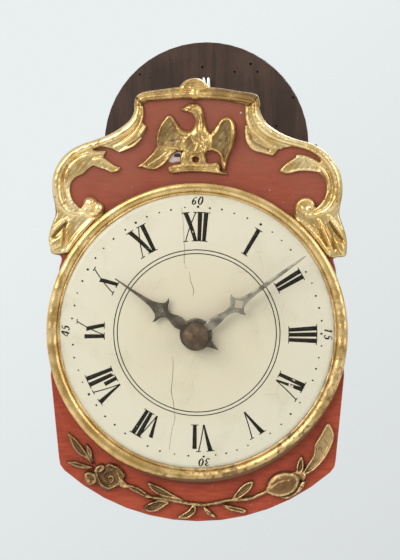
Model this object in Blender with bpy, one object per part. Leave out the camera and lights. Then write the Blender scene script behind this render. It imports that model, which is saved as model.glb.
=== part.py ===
"""Black Forest wall clock: a carved and gilded shield in front of a weight-driven wooden movement.

Metres, +Z up. The clock faces -Y and hangs against the wall plane Y = 0. The origin lies in that plane,
straight behind the axis of the hands. Depths are counted from the wall towards the front, so a depth d
is the plane Y = -d. Outlines are (x, z) points as seen from the front.
"""

import math

import bmesh
import bpy
from mathutils import Matrix, Vector

MM = 0.001

# Fits
FIT = 0.3 * MM
RUNNING_FIT = 0.4 * MM
BACKLASH = 0.45 * MM
LANTERN_PLAY = 0.75 * MM

# Frame of the movement
CASE_WIDTH = 128 * MM
BOARD_THICK = 9 * MM
BACK_THICK = 9 * MM
HEAD_SHOULDER = 5 * MM
HEAD_RISE = 0.5 * MM
PLATE_WIDTH = 44 * MM
PLATE_THICK = 9 * MM
TENON_WIDTH = 20 * MM
PENDULUM_SPACE = 16 * MM
TRAIN_SPACE = 41 * MM
MOTION_SPACE = 14 * MM
FLOOR_ROOM = 7.7 * MM
HEAD_ROOM = 9.6 * MM
CHAIN_HOLE_RADIUS = 4 * MM
PENDULUM_SLOT_WIDTH = 36 * MM
PENDULUM_SLOT_DEPTH = 9 * MM

# Side doors on wire pins
DOOR_THICK = 5 * MM
DOOR_REAR_ROOM = 3 * MM
DOOR_FRONT_ROOM = 1 * MM
DOOR_PIN_RADIUS = 1.1 * MM
DOOR_PIN_REACH = 8 * MM

# Hanging loop of wire in the back board
LOOP_WIRE_RADIUS = 1.1 * MM
LOOP_LEG_SPACING = 2.7 * MM
LOOP_LEG_HEIGHT = 21 * MM
LOOP_EYE_WIDTH = 12 * MM
LOOP_EYE_HEIGHT = 15 * MM
LOOP_HOLE_DROP = 41 * MM
POCKET_DEPTH = 5 * MM
POCKET_MARGIN = 1.5 * MM

# Going train
GREAT_TEETH = 48
GREAT_MODULE = 1.5 * MM
GREAT_PIN_RADIUS = 1.1 * MM
SECOND_TEETH = 54
SECOND_MODULE = 1.1 * MM
SECOND_PIN_RADIUS = 0.8 * MM
PINION_PINS = 6
TRUNDLE_SIDES = 5
PINION_CAP_THICK = 1.5 * MM
PINION_CAP_RIM = 0.8 * MM
PINION_SIDE_ROOM = 2 * MM
WHEEL_THICK = 2.4 * MM
RIM_WIDTH = 3.4 * MM
SPOKE_WIDTH = 4.2 * MM
WHEEL_HUB_RADIUS = 6.5 * MM
SPOKES = 4
ARBOR_RADIUS = 1.25 * MM
GREAT_ARBOR_RADIUS = 3 * MM
PIVOT_RADIUS = 0.95 * MM
GREAT_PIVOT_RADIUS = 1.9 * MM
BUSH_WALL = 1.3 * MM
COLLAR_THICK = 2 * MM
COLLAR_RIM = 2.2 * MM
GREAT_WHEEL_ROOM = 10 * MM
SECOND_WHEEL_ROOM = 4.5 * MM
ESCAPE_WHEEL_ROOM = 13 * MM

# Escapement
ESCAPE_TEETH = 36
ESCAPE_RADIUS = 18 * MM
ESCAPE_TOOTH_HEIGHT = 2.6 * MM
ESCAPE_WHEEL_THICK = 1.8 * MM
ANCHOR_SPAN = math.radians(42.5)
ANCHOR_THICK = 3.6 * MM
ANCHOR_ARM = 2.8 * MM
ANCHOR_HUB_RADIUS = 4.4 * MM
PALLET_CLEAR = 1.3 * MM
CRUTCH_LENGTH = 46 * MM
WIRE_RADIUS = 0.9 * MM

# Chain wheel with its ratchet
CHAIN_FLANGE_RADIUS = 13 * MM
CHAIN_GROOVE_RADIUS = 8.5 * MM
CHAIN_WHEEL_WIDTH = 12 * MM
CHAIN_FLANGE_THICK = 2.2 * MM
CHAIN_SPIKES = 6
SPIKE_RADIUS = 0.9 * MM
SPIKE_HEIGHT = 3 * MM
RATCHET_TEETH = 12
RATCHET_TOOTH_HEIGHT = 1.8 * MM
RATCHET_THICK = 2.2 * MM
CLICK_CLEAR = 0.5 * MM
CLICK_REACH = 9 * MM
CLICK_FOOT = 7 * MM
CLICK_WIDTH = 3.2 * MM

# Motion work behind the dial
DRIVE_TEETH = 18
MOTION_MODULE = 1.0 * MM
INTERMEDIATE_TEETH = 36
INTERMEDIATE_PINS = 6
INTERMEDIATE_PIN_RADIUS = 0.9 * MM
INTERMEDIATE_TURN = math.radians(60)
HOUR_TEETH = 36
MOTION_THICK = 2 * MM
MOTION_STEP = 1.6 * MM
MINUTE_ARBOR_RADIUS = 2 * MM
HOUR_PIPE_WALL = 1.6 * MM
STUD_RADIUS = 1.5 * MM

# Shield, dial and bezel
SHIELD_THICK = 11 * MM
BEZEL_OUTER = 83 * MM
BEZEL_WIDTH = 6.6 * MM
BEZEL_HEIGHT = 5.4 * MM
DIAL_EDGE_THICK = 3 * MM
DIAL_RISE = 5 * MM
DIAL_HOLE_CLEAR = 1 * MM
DOWEL_RADIUS = 2.5 * MM
DOWEL_SHIELD_DEPTH = 6 * MM
DOWEL_BOARD_DEPTH = 14 * MM
DOWEL_INSET = 19 * MM

# Hands
HAND_THICK = 1.4 * MM
HAND_STEP = 1.5 * MM
HOUR_HAND_LENGTH = 54 * MM
MINUTE_HAND_LENGTH = 74 * MM
NUT_RADIUS = 7 * MM
NUT_HEIGHT = 7.5 * MM
SHOWN_MINUTES = 9.0
SHOWN_HOUR = 10

# Drawings: the carving has this many units to the bezel's outer radius, a hand to its length
BEZEL_UNITS = 83
HOUR_HAND_UNITS = 54
MINUTE_HAND_UNITS = 74
CARVING = BEZEL_OUTER / BEZEL_UNITS

# Finishes: colour, roughness, metallic
FINISHES = {
    "red_paint": ((0.29, 0.075, 0.036), 0.55, 0.0),
    "gilding": ((0.47, 0.28, 0.11), 0.38, 0.8),
    "dial_paint": ((0.67, 0.62, 0.48), 0.45, 0.0),
    "brown_wood": ((0.085, 0.055, 0.04), 0.7, 0.0),
    "pale_wood": ((0.36, 0.22, 0.11), 0.65, 0.0),
    "steel": ((0.4, 0.39, 0.37), 0.35, 1.0),
    "iron": ((0.12, 0.11, 0.1), 0.5, 0.9),
    "brass": ((0.6, 0.42, 0.16), 0.35, 1.0),
    "bronze": ((0.07, 0.05, 0.028), 0.45, 0.6),
}

# Places worked out from the sizes above
HEAD_RADIUS = CASE_WIDTH / 2 - HEAD_SHOULDER
BEZEL_INNER = BEZEL_OUTER - BEZEL_WIDTH
DOWEL_SPREAD = CASE_WIDTH / 2 - DOWEL_INSET
GREAT_RADIUS = GREAT_TEETH * GREAT_MODULE / 2
SECOND_PINION_RADIUS = PINION_PINS * GREAT_MODULE / 2
SECOND_RADIUS = SECOND_TEETH * SECOND_MODULE / 2
ESCAPE_PINION_RADIUS = PINION_PINS * SECOND_MODULE / 2
DRIVE_RADIUS = DRIVE_TEETH * MOTION_MODULE / 2
INTERMEDIATE_RADIUS = INTERMEDIATE_TEETH * MOTION_MODULE / 2
INTERMEDIATE_REACH = DRIVE_RADIUS + INTERMEDIATE_RADIUS
HOUR_MODULE = 2 * INTERMEDIATE_REACH / (INTERMEDIATE_PINS + HOUR_TEETH)
HOUR_RADIUS = HOUR_TEETH * HOUR_MODULE / 2
INTERMEDIATE_PINION_RADIUS = INTERMEDIATE_PINS * HOUR_MODULE / 2

MINUTE_AXIS = (0.0, 0.0)
GREAT_AXIS = (0.0, -2 * DRIVE_RADIUS)
SECOND_AXIS = (0.0, GREAT_AXIS[1] + GREAT_RADIUS + SECOND_PINION_RADIUS)
ESCAPE_AXIS = (0.0, SECOND_AXIS[1] + SECOND_RADIUS + ESCAPE_PINION_RADIUS)
ANCHOR_AXIS = (0.0, ESCAPE_AXIS[1] + ESCAPE_RADIUS / math.cos(ANCHOR_SPAN))
INTERMEDIATE_AXIS = (
    INTERMEDIATE_REACH * math.cos(INTERMEDIATE_TURN),
    INTERMEDIATE_REACH * math.sin(INTERMEDIATE_TURN),
)

LANTERN_TIP = 1.1
GREAT_TIP = GREAT_RADIUS + LANTERN_TIP * GREAT_MODULE
FLOOR = GREAT_AXIS[1] - GREAT_TIP - FLOOR_ROOM
CEILING = ANCHOR_AXIS[1] + HEAD_ROOM
CASE_BOTTOM = FLOOR - BOARD_THICK
CASE_TOP = CEILING + BOARD_THICK
HEAD_CENTRE = CASE_TOP + HEAD_RISE

BACK_PLATE_REAR = BACK_THICK + PENDULUM_SPACE
BACK_PLATE_FRONT = BACK_PLATE_REAR + PLATE_THICK
FRONT_PLATE_REAR = BACK_PLATE_FRONT + TRAIN_SPACE
FRONT_PLATE_FRONT = FRONT_PLATE_REAR + PLATE_THICK
SHIELD_BACK = FRONT_PLATE_FRONT + MOTION_SPACE
SHIELD_FRONT = SHIELD_BACK + SHIELD_THICK
CARVING_BASE = SHIELD_FRONT + FIT
PENDULUM_DEPTH = BACK_THICK + PENDULUM_SPACE / 2

GREAT_WHEEL_REAR = BACK_PLATE_FRONT + GREAT_WHEEL_ROOM
GREAT_WHEEL_FRONT = GREAT_WHEEL_REAR + WHEEL_THICK
RATCHET_REAR = GREAT_WHEEL_FRONT + 2 * FIT
CHAIN_WHEEL_REAR = RATCHET_REAR + RATCHET_THICK
CHAIN_WHEEL_FRONT = CHAIN_WHEEL_REAR + CHAIN_WHEEL_WIDTH
SECOND_WHEEL_FRONT = FRONT_PLATE_REAR - SECOND_WHEEL_ROOM
SECOND_WHEEL_REAR = SECOND_WHEEL_FRONT - WHEEL_THICK
ESCAPE_WHEEL_REAR = BACK_PLATE_FRONT + ESCAPE_WHEEL_ROOM
ESCAPE_WHEEL_FRONT = ESCAPE_WHEEL_REAR + ESCAPE_WHEEL_THICK

MOTION_REAR = FRONT_PLATE_FRONT + MOTION_STEP
MOTION_FRONT = MOTION_REAR + MOTION_THICK
HOUR_WHEEL_REAR = MOTION_FRONT + MOTION_STEP
HOUR_WHEEL_FRONT = HOUR_WHEEL_REAR + MOTION_THICK
HOUR_PIPE_BORE = MINUTE_ARBOR_RADIUS + RUNNING_FIT
HOUR_PIPE_RADIUS = HOUR_PIPE_BORE + HOUR_PIPE_WALL

DIAL_BACK = SHIELD_FRONT + FIT
DIAL_RADIUS = BEZEL_INNER - FIT
DIAL_FRONT = DIAL_BACK + DIAL_EDGE_THICK + DIAL_RISE
HOUR_HAND_BACK = DIAL_FRONT + HAND_STEP
HOUR_HAND_FRONT = HOUR_HAND_BACK + HAND_THICK
MINUTE_HAND_BACK = HOUR_HAND_FRONT + HAND_STEP
MINUTE_HAND_FRONT = MINUTE_HAND_BACK + HAND_THICK
NUT_BACK = MINUTE_HAND_FRONT + FIT
NUT_FRONT = NUT_BACK + NUT_HEIGHT


def circle(radius, steps, centre=(0.0, 0.0), phase=0.0):
    """Points of a whole circle."""
    turns = [phase + math.tau * k / steps for k in range(steps)]
    return [(centre[0] + radius * math.cos(t), centre[1] + radius * math.sin(t)) for t in turns]


def arc(radius, start, end, steps, centre=(0.0, 0.0)):
    """Points of an arc from one angle to another, both ends included."""
    turns = [start + (end - start) * k / steps for k in range(steps + 1)]
    return [(centre[0] + radius * math.cos(t), centre[1] + radius * math.sin(t)) for t in turns]


def rectangle(x0, z0, x1, z1):
    """Corner points of an upright rectangle."""
    return [(x0, z0), (x1, z0), (x1, z1), (x0, z1)]


def smooth(points, steps=3):
    """Points of a smooth open curve through the given points."""
    ends = [points[0], *points, points[-1]]
    result = []
    for before, start, end, after in zip(ends, ends[1:], ends[2:], ends[3:]):
        for k in range(steps):
            t = k / steps
            weights = (
                (-t + 2 * t * t - t**3) / 2,
                (2 - 5 * t * t + 3 * t**3) / 2,
                (t + 4 * t * t - 3 * t**3) / 2,
                (-t * t + t**3) / 2,
            )
            knots = (before, start, end, after)
            result.append(tuple(sum(w * p[axis] for w, p in zip(weights, knots)) for axis in (0, 1)))
    return result + [points[-1]]


def turned_about(points, angle, centre):
    """Points drawn along +X, turned by an angle and moved to a centre."""
    cos, sin = math.cos(angle), math.sin(angle)
    return [(centre[0] + u * cos - v * sin, centre[1] + u * sin + v * cos) for u, v in points]


def finish_material(finish):
    """The material of a named finish, made once."""
    material = bpy.data.materials.get(finish)
    if material:
        return material
    colour, roughness, metallic = FINISHES[finish]
    material = bpy.data.materials.new(finish)
    material.use_nodes = True
    shader = material.node_tree.nodes["Principled BSDF"]
    shader.inputs["Base Color"].default_value = (*colour, 1.0)
    shader.inputs["Roughness"].default_value = roughness
    shader.inputs["Metallic"].default_value = metallic
    material.diffuse_color = (*colour, 1.0)
    return material


def set_origin(thing, place):
    """Move an object's origin to a point and leave its shape where it is."""
    origin = Vector(place)
    thing.data.transform(Matrix.Translation(thing.location - origin))
    thing.location = origin


def piece(name, mesh, finish, axis=None, rounded=False):
    """An object for a mesh in world coordinates; a moving piece has its origin on its axis (x, z)."""
    mesh.name = name
    mesh.materials.clear()
    mesh.materials.append(finish_material(finish))
    thing = bpy.data.objects.new(name, mesh)
    bpy.context.scene.collection.objects.link(thing)
    if axis:
        set_origin(thing, (axis[0], 0.0, axis[1]))
    if rounded:
        mesh.shade_smooth()
        mesh.set_sharp_from_angle(angle=math.radians(40))
    return thing


def tidy_mesh(bm):
    """Weld a bmesh, turn its faces outwards and return it as a mesh."""
    bmesh.ops.remove_doubles(bm, verts=bm.verts, dist=1e-6)
    bmesh.ops.recalc_face_normals(bm, faces=bm.faces)
    mesh = bpy.data.meshes.new("shape")
    bm.to_mesh(mesh)
    bm.free()
    return mesh


def curve_mesh(curve):
    """Turn a curve, drawn in millimetres, into a welded mesh in metres."""
    source = bpy.data.objects.new("source", curve)
    mesh = bpy.data.meshes.new_from_object(source)
    bpy.data.objects.remove(source)
    bpy.data.curves.remove(curve)
    bm = bmesh.new()
    bm.from_mesh(mesh)
    bpy.data.meshes.remove(mesh)
    bmesh.ops.scale(bm, vec=(MM, MM, MM), verts=bm.verts)
    return tidy_mesh(bm)


def sheet_mesh(outlines, low, high):
    """A flat solid between two levels: the first outline is its edge, the others are holes."""
    curve = bpy.data.curves.new("sheet", "CURVE")
    curve.dimensions = "2D"
    curve.fill_mode = "BOTH"
    curve.extrude = (high - low) / 2 / MM
    for outline in outlines:
        spline = curve.splines.new("POLY")
        spline.points.add(len(outline) - 1)
        for point, (u, v) in zip(spline.points, outline):
            point.co = (u / MM, v / MM, 0.0, 1.0)
        spline.use_cyclic_u = True
    mesh = curve_mesh(curve)
    mesh.transform(Matrix.Translation((0.0, 0.0, (low + high) / 2)))
    return mesh


def upright_mesh(outlines, rear, front):
    """A flat solid whose (x, z) outlines face the front, between two depths."""
    mesh = sheet_mesh(outlines, rear, front)
    mesh.transform(Matrix.Rotation(math.pi / 2, 4, "X"))
    return mesh


def turned_mesh(profile, axis, segments, ring=False):
    """A solid turned about a line along Y through (x, z); the profile holds (radius, depth) points."""
    bm = bmesh.new()
    verts = [bm.verts.new((radius, -depth, 0.0)) for radius, depth in profile]
    followers = verts[1:] + verts[:1] if ring else verts[1:]
    edges = [bm.edges.new(pair) for pair in zip(verts, followers)]
    bmesh.ops.spin(
        bm,
        geom=verts + edges,
        cent=(0.0, 0.0, 0.0),
        axis=(0.0, 1.0, 0.0),
        angle=math.tau,
        steps=segments,
        use_merge=True,
    )
    bmesh.ops.translate(bm, vec=(axis[0], 0.0, axis[1]), verts=bm.verts)
    return tidy_mesh(bm)


def rod_mesh(radius, rear, front, axis, segments=10):
    """A plain round bar along Y."""
    return turned_mesh([(0.0, rear), (radius, rear), (radius, front), (0.0, front)], axis, segments)


def ring_mesh(bore, radius, rear, front, axis, segments=10):
    """A plain tube along Y."""
    profile = [(bore, rear), (radius, rear), (radius, front), (bore, front)]
    return turned_mesh(profile, axis, segments, ring=True)


def upright_rod_mesh(radius, low, high, x, depth, segments=10):
    """A plain round bar along Z."""
    return sheet_mesh([circle(radius, segments, (x, -depth))], low, high)


def wire_mesh(points, radius, sides=2):
    """A bent round wire through (x, y, z) points."""
    curve = bpy.data.curves.new("wire", "CURVE")
    curve.dimensions = "3D"
    curve.bevel_depth = radius / MM
    curve.bevel_resolution = sides
    curve.use_fill_caps = True
    spline = curve.splines.new("POLY")
    spline.points.add(len(points) - 1)
    for point, place in zip(spline.points, points):
        point.co = (*(value / MM for value in place), 1.0)
    return curve_mesh(curve)


def combine(target, tools, operation):
    """Join meshes to an object, or cut them out of it, and drop the tools."""
    helpers = []
    for mesh in tools:
        helper = bpy.data.objects.new("helper", mesh)
        bpy.context.scene.collection.objects.link(helper)
        helpers.append(helper)
        modifier = target.modifiers.new("combine", "BOOLEAN")
        modifier.operation = operation
        modifier.solver = "EXACT"
        modifier.object = helper
    bpy.context.view_layer.update()
    evaluated = target.evaluated_get(bpy.context.evaluated_depsgraph_get())
    result = bpy.data.meshes.new_from_object(evaluated)
    target.modifiers.clear()
    old = target.data
    target.data = result
    name = old.name
    bpy.data.meshes.remove(old)
    result.name = name
    for helper in helpers:
        mesh = helper.data
        bpy.data.objects.remove(helper)
        bpy.data.meshes.remove(mesh)
    return target


def toothed_outline(teeth, pitch_radius, root, tip, thickness, phase, centre):
    """Outline of a wheel with straight-flanked teeth; one tooth is centred on the phase angle."""
    tip_half = 0.28 * thickness
    slope = (thickness / 2 - tip_half) / (tip - pitch_radius)
    root_half = thickness / 2 + slope * (pitch_radius - root)
    points = []
    for k in range(teeth):
        middle = phase + math.tau * k / teeth
        for radius, half in ((root, -root_half), (tip, -tip_half), (tip, tip_half), (root, root_half)):
            turn = middle + half / radius
            points.append((centre[0] + radius * math.cos(turn), centre[1] + radius * math.sin(turn)))
    return points


def saw_outline(teeth, tooth, centre):
    """Outline of a wheel with slanted teeth; a tooth is given as (radius, part of the pitch) points."""
    points = []
    for k in range(teeth):
        for radius, lead in tooth:
            turn = (k + lead) * math.tau / teeth
            points.append((centre[0] + radius * math.cos(turn), centre[1] + radius * math.sin(turn)))
    return points


def lantern_teeth(teeth, module, pin_radius, phase, centre):
    """Teeth that run between the pins of a lantern pinion."""
    radius = teeth * module / 2
    thickness = math.pi * module - 2 * pin_radius - LANTERN_PLAY
    root = radius - pin_radius - RUNNING_FIT
    return toothed_outline(teeth, radius, root, radius + LANTERN_TIP * module, thickness, phase, centre)


def spur_teeth(teeth, phase, centre):
    """Teeth of the motion work, which run between each other."""
    radius = teeth * MOTION_MODULE / 2
    thickness = math.pi * MOTION_MODULE / 2 - BACKLASH
    tip = radius + 0.75 * MOTION_MODULE
    root = radius - 0.75 * MOTION_MODULE - RUNNING_FIT
    return toothed_outline(teeth, radius, root, tip, thickness, phase, centre)


def meshed_phase(direction, phase, teeth, other_teeth):
    """Angle of a tooth or pin of the wheel that meshes in the given direction."""
    pitch = math.tau / teeth
    offset = (phase - direction) % pitch
    return direction + math.pi - offset * teeth / other_teeth + math.pi / other_teeth


def crossings(hub, rim, centre):
    """Windows between the spokes of a wheel."""
    windows = []
    for k in range(SPOKES):
        middle = math.tau * (k + 0.5) / SPOKES
        outer = math.pi / SPOKES - math.asin(SPOKE_WIDTH / 2 / rim)
        inner = math.pi / SPOKES - math.asin(SPOKE_WIDTH / 2 / hub)
        far_edge = arc(rim, middle - outer, middle + outer, 3, centre)
        near_edge = arc(hub, middle + inner, middle - inner, 1, centre)
        windows.append(far_edge + near_edge)
    return windows


def lantern_pinion(name, pitch_radius, pin_radius, span, phase, axis):
    """Two brass caps joined by steel trundles, with the wheel's teeth running between the caps."""
    rear, front = span
    bore = ARBOR_RADIUS + FIT
    cap = pitch_radius + pin_radius + PINION_CAP_RIM
    rear_cap = ring_mesh(bore, cap, rear, rear + PINION_CAP_THICK, axis)
    front_cap = ring_mesh(bore, cap, front - PINION_CAP_THICK, front, axis)
    ends = (rear + PINION_CAP_THICK / 2, front - PINION_CAP_THICK / 2)
    places = circle(pitch_radius, PINION_PINS, axis, phase)
    trundles = [rod_mesh(pin_radius, *ends, place, TRUNDLE_SIDES) for place in places]
    pinion = piece(name, rear_cap, "brass", rounded=True)
    combine(pinion, [front_cap, *trundles], "UNION")
    set_origin(pinion, (axis[0], 0.0, axis[1]))


def build_case():
    """Back, top and bottom boards and the two plates that carry the train."""
    half = CASE_WIDTH / 2
    shoulder = HEAD_CENTRE
    back_edge = [(-half, CASE_BOTTOM), (half, CASE_BOTTOM), (half, shoulder)]
    back_edge += arc(HEAD_RADIUS, 0.0, math.pi, 26, (0.0, HEAD_CENTRE))
    back_edge.append((-half, shoulder))
    loop_z = HEAD_CENTRE + HEAD_RADIUS - LOOP_HOLE_DROP
    reach = LOOP_LEG_SPACING / 2 + LOOP_WIRE_RADIUS + FIT
    rise = LOOP_WIRE_RADIUS + FIT
    wire_hole = rectangle(-reach, loop_z - rise, reach, loop_z + rise)
    back = piece("back_board", upright_mesh([back_edge, wire_hole], 0.0, BACK_THICK), "brown_wood")
    pocket_half = LOOP_EYE_WIDTH / 2 + LOOP_WIRE_RADIUS + POCKET_MARGIN
    pocket_low = loop_z - rise - POCKET_MARGIN
    pocket_high = loop_z + LOOP_EYE_HEIGHT + LOOP_WIRE_RADIUS + POCKET_MARGIN
    pocket = rectangle(-pocket_half, pocket_low, pocket_half, pocket_high)
    combine(back, [upright_mesh([pocket], -BACK_THICK, POCKET_DEPTH)], "DIFFERENCE")

    rear, front = -BACK_THICK - FIT, -SHIELD_BACK + FIT
    edge = rectangle(-half, front, half, rear)
    pin_x = half - DOOR_THICK / 2
    pin_y = -door_pin_depth()
    openings = [circle(DOOR_PIN_RADIUS + FIT, 10, (side * pin_x, pin_y)) for side in (-1, 1)]
    for plate_rear, plate_front in plate_depths():
        mortise = TENON_WIDTH / 2 + FIT
        openings.append(rectangle(-mortise, -plate_front - FIT, mortise, -plate_rear + FIT))
    chain_x = CHAIN_GROOVE_RADIUS + WIRE_RADIUS
    chain_y = -(CHAIN_WHEEL_REAR + CHAIN_WHEEL_FRONT) / 2
    floor_openings = [circle(CHAIN_HOLE_RADIUS, 14, (side * chain_x, chain_y)) for side in (-1, 1)]
    slot = PENDULUM_SLOT_WIDTH / 2
    slot_rear = -PENDULUM_DEPTH + PENDULUM_SLOT_DEPTH / 2
    floor_openings.append(rectangle(-slot, slot_rear - PENDULUM_SLOT_DEPTH, slot, slot_rear))
    top = piece("top_board", sheet_mesh([edge, *openings], CEILING, CASE_TOP), "brown_wood")
    bottom_mesh = sheet_mesh([edge, *openings, *floor_openings], CASE_BOTTOM, FLOOR)
    bottom = piece("bottom_board", bottom_mesh, "brown_wood")
    for board, height in ((top, (CEILING + CASE_TOP) / 2), (bottom, (CASE_BOTTOM + FLOOR) / 2)):
        places = [(side * DOWEL_SPREAD, height) for side in (-1, 1)]
        ends = (SHIELD_BACK - DOWEL_BOARD_DEPTH, SHIELD_BACK)
        combine(board, [rod_mesh(DOWEL_RADIUS + FIT, *ends, place) for place in places], "DIFFERENCE")


def plate_depths():
    """Rear and front depth of the back plate and of the front plate."""
    return (BACK_PLATE_REAR, BACK_PLATE_FRONT), (FRONT_PLATE_REAR, FRONT_PLATE_FRONT)


def door_pin_depth():
    """Depth of the doors' hinge line."""
    return BACK_THICK + DOOR_REAR_ROOM + DOOR_THICK / 2


def bush_radius(pivot):
    """Outer radius of the bush round a pivot."""
    return pivot + RUNNING_FIT + BUSH_WALL


def build_plates():
    """Front and back plates with tenons, and the brass bushes in them."""
    half, tenon = PLATE_WIDTH / 2, TENON_WIDTH / 2
    edge = [
        (-half, FLOOR + FIT),
        (-tenon, FLOOR + FIT),
        (-tenon, CASE_BOTTOM),
        (tenon, CASE_BOTTOM),
        (tenon, FLOOR + FIT),
        (half, FLOOR + FIT),
        (half, CEILING - FIT),
        (tenon, CEILING - FIT),
        (tenon, CASE_TOP),
        (-tenon, CASE_TOP),
        (-tenon, CEILING - FIT),
        (-half, CEILING - FIT),
    ]
    shared = {
        "great": (GREAT_AXIS, GREAT_PIVOT_RADIUS),
        "second": (SECOND_AXIS, PIVOT_RADIUS),
        "escape": (ESCAPE_AXIS, PIVOT_RADIUS),
        "anchor": (ANCHOR_AXIS, PIVOT_RADIUS),
    }
    fronted = {**shared, "minute": (MINUTE_AXIS, MINUTE_ARBOR_RADIUS)}
    stud_hole = circle(STUD_RADIUS + FIT, 12, INTERMEDIATE_AXIS)
    wire_hole = circle(WIRE_RADIUS + FIT, 10, suspension_place())
    for side, depths, pivots, extra in (
        ("back", plate_depths()[0], shared, wire_hole),
        ("front", plate_depths()[1], fronted, stud_hole),
    ):
        holes = [circle(bush_radius(pivot) + FIT, 10, axis) for axis, pivot in pivots.values()]
        piece(f"{side}_plate", upright_mesh([edge, extra, *holes], *depths), "pale_wood")
        for name, (axis, pivot) in pivots.items():
            bush = ring_mesh(pivot + RUNNING_FIT, bush_radius(pivot), *depths, axis, 8)
            piece(f"{name}_{side}_bush", bush, "brass", rounded=True)


def build_doors():
    """Side doors that swing on wire pins near their rear edge."""
    low, high = FLOOR + 2 * FIT, CEILING - 2 * FIT
    pin_depth = door_pin_depth()
    rear = BACK_THICK + DOOR_REAR_ROOM
    front = SHIELD_BACK - DOOR_FRONT_ROOM
    for side, name in ((-1, "left"), (1, "right")):
        outer = side * CASE_WIDTH / 2
        inner = outer - side * DOOR_THICK
        middle = (outer + inner) / 2
        edge = rectangle(min(outer, inner), -front, max(outer, inner), -rear)
        door = piece(f"{name}_door", sheet_mesh([edge], low, high), "brown_wood")
        reach = DOOR_PIN_REACH + FIT
        drills = [
            upright_rod_mesh(DOOR_PIN_RADIUS + FIT, low - reach, low + reach, middle, pin_depth),
            upright_rod_mesh(DOOR_PIN_RADIUS + FIT, high - reach, high + reach, middle, pin_depth),
        ]
        combine(door, drills, "DIFFERENCE")
        set_origin(door, (middle, -pin_depth, 0.0))
        pins = {"bottom": (CASE_BOTTOM, low + DOOR_PIN_REACH), "top": (high - DOOR_PIN_REACH, CASE_TOP)}
        for end, (pin_low, pin_high) in pins.items():
            pin = upright_rod_mesh(DOOR_PIN_RADIUS, pin_low, pin_high, middle, pin_depth)
            piece(f"{name}_door_{end}_pin", pin, "iron", rounded=True)


def build_hanging_loop():
    """A wire eye in the rear pocket; its two ends pass the board and stand up in front of it."""
    loop_z = HEAD_CENTRE + HEAD_RADIUS - LOOP_HOLE_DROP
    leg = LOOP_LEG_SPACING / 2
    eye_y = -POCKET_DEPTH / 2
    leg_y = -BACK_THICK - LOOP_WIRE_RADIUS - FIT
    bend = LOOP_WIRE_RADIUS
    half_width, height = LOOP_EYE_WIDTH / 2, LOOP_EYE_HEIGHT
    left = [
        (-leg, leg_y, loop_z + LOOP_LEG_HEIGHT),
        (-leg, leg_y, loop_z + 2 * bend),
        (-leg, leg_y + 0.6 * bend, loop_z + 0.6 * bend),
        (-leg, leg_y + 2 * bend, loop_z),
        (-leg, eye_y - 1.4 * bend, loop_z),
        (-leg - 0.3 * bend, eye_y - 0.3 * bend, loop_z + 0.5 * bend),
        (-leg - bend, eye_y, loop_z + 2 * bend),
        (-half_width, eye_y, loop_z + height - half_width),
    ]
    top = [
        (x, eye_y, z)
        for x, z in arc(half_width, math.pi, 0.0, 8, (0.0, loop_z + height - half_width))
    ]
    right = [(-x, y, z) for x, y, z in reversed(left)]
    points = left + top[1:-1] + right
    piece("hanging_loop", wire_mesh(points, LOOP_WIRE_RADIUS, 1), "steel", rounded=True)


def arbor(name, axis, radius, pivot, rear, front, collars):
    """A turned arbor with a pivot at each end; collars are (radius, rear, front) steps along it."""
    body_rear, body_front = BACK_PLATE_FRONT + 2 * FIT, FRONT_PLATE_REAR - 2 * FIT
    profile = [(0.0, rear), (pivot, rear), (pivot, body_rear), (radius, body_rear)]
    for collar, low, high in collars:
        profile += [(radius, low), (collar, low), (collar, high), (radius, high)]
    profile += [(radius, body_front), (pivot, body_front), (pivot, front), (0.0, front)]
    piece(name, turned_mesh(profile, axis, 8), "iron", axis, rounded=True)


def great_phase():
    """Angle of a great wheel tooth, so that a gap faces the second pinion."""
    return math.pi / 2 + math.pi / GREAT_TEETH


def build_great_train():
    """Great arbor with great wheel, chain wheel, ratchet, click and the drive wheel of the hands."""
    front = MOTION_FRONT + FIT
    stop = CHAIN_WHEEL_FRONT + FIT
    collars = [(GREAT_ARBOR_RADIUS + COLLAR_RIM, stop, stop + COLLAR_THICK)]
    rear = BACK_PLATE_REAR
    arbor("great_arbor", GREAT_AXIS, GREAT_ARBOR_RADIUS, GREAT_PIVOT_RADIUS, rear, front, collars)
    bore = circle(GREAT_ARBOR_RADIUS + FIT, 16, GREAT_AXIS)
    teeth = lantern_teeth(GREAT_TEETH, GREAT_MODULE, GREAT_PIN_RADIUS, great_phase(), GREAT_AXIS)
    rim = GREAT_RADIUS - GREAT_PIN_RADIUS - RUNNING_FIT - RIM_WIDTH
    outlines = [teeth, bore, *crossings(WHEEL_HUB_RADIUS, rim, GREAT_AXIS)]
    wheel = upright_mesh(outlines, GREAT_WHEEL_REAR, GREAT_WHEEL_FRONT)
    piece("great_wheel", wheel, "brass", GREAT_AXIS)
    build_chain_wheel()
    build_click()
    drive = [
        spur_teeth(DRIVE_TEETH, drive_phase(), GREAT_AXIS),
        circle(GREAT_PIVOT_RADIUS + FIT, 14, GREAT_AXIS),
    ]
    piece("drive_wheel", upright_mesh(drive, MOTION_REAR, MOTION_FRONT), "brass", GREAT_AXIS)


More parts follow.
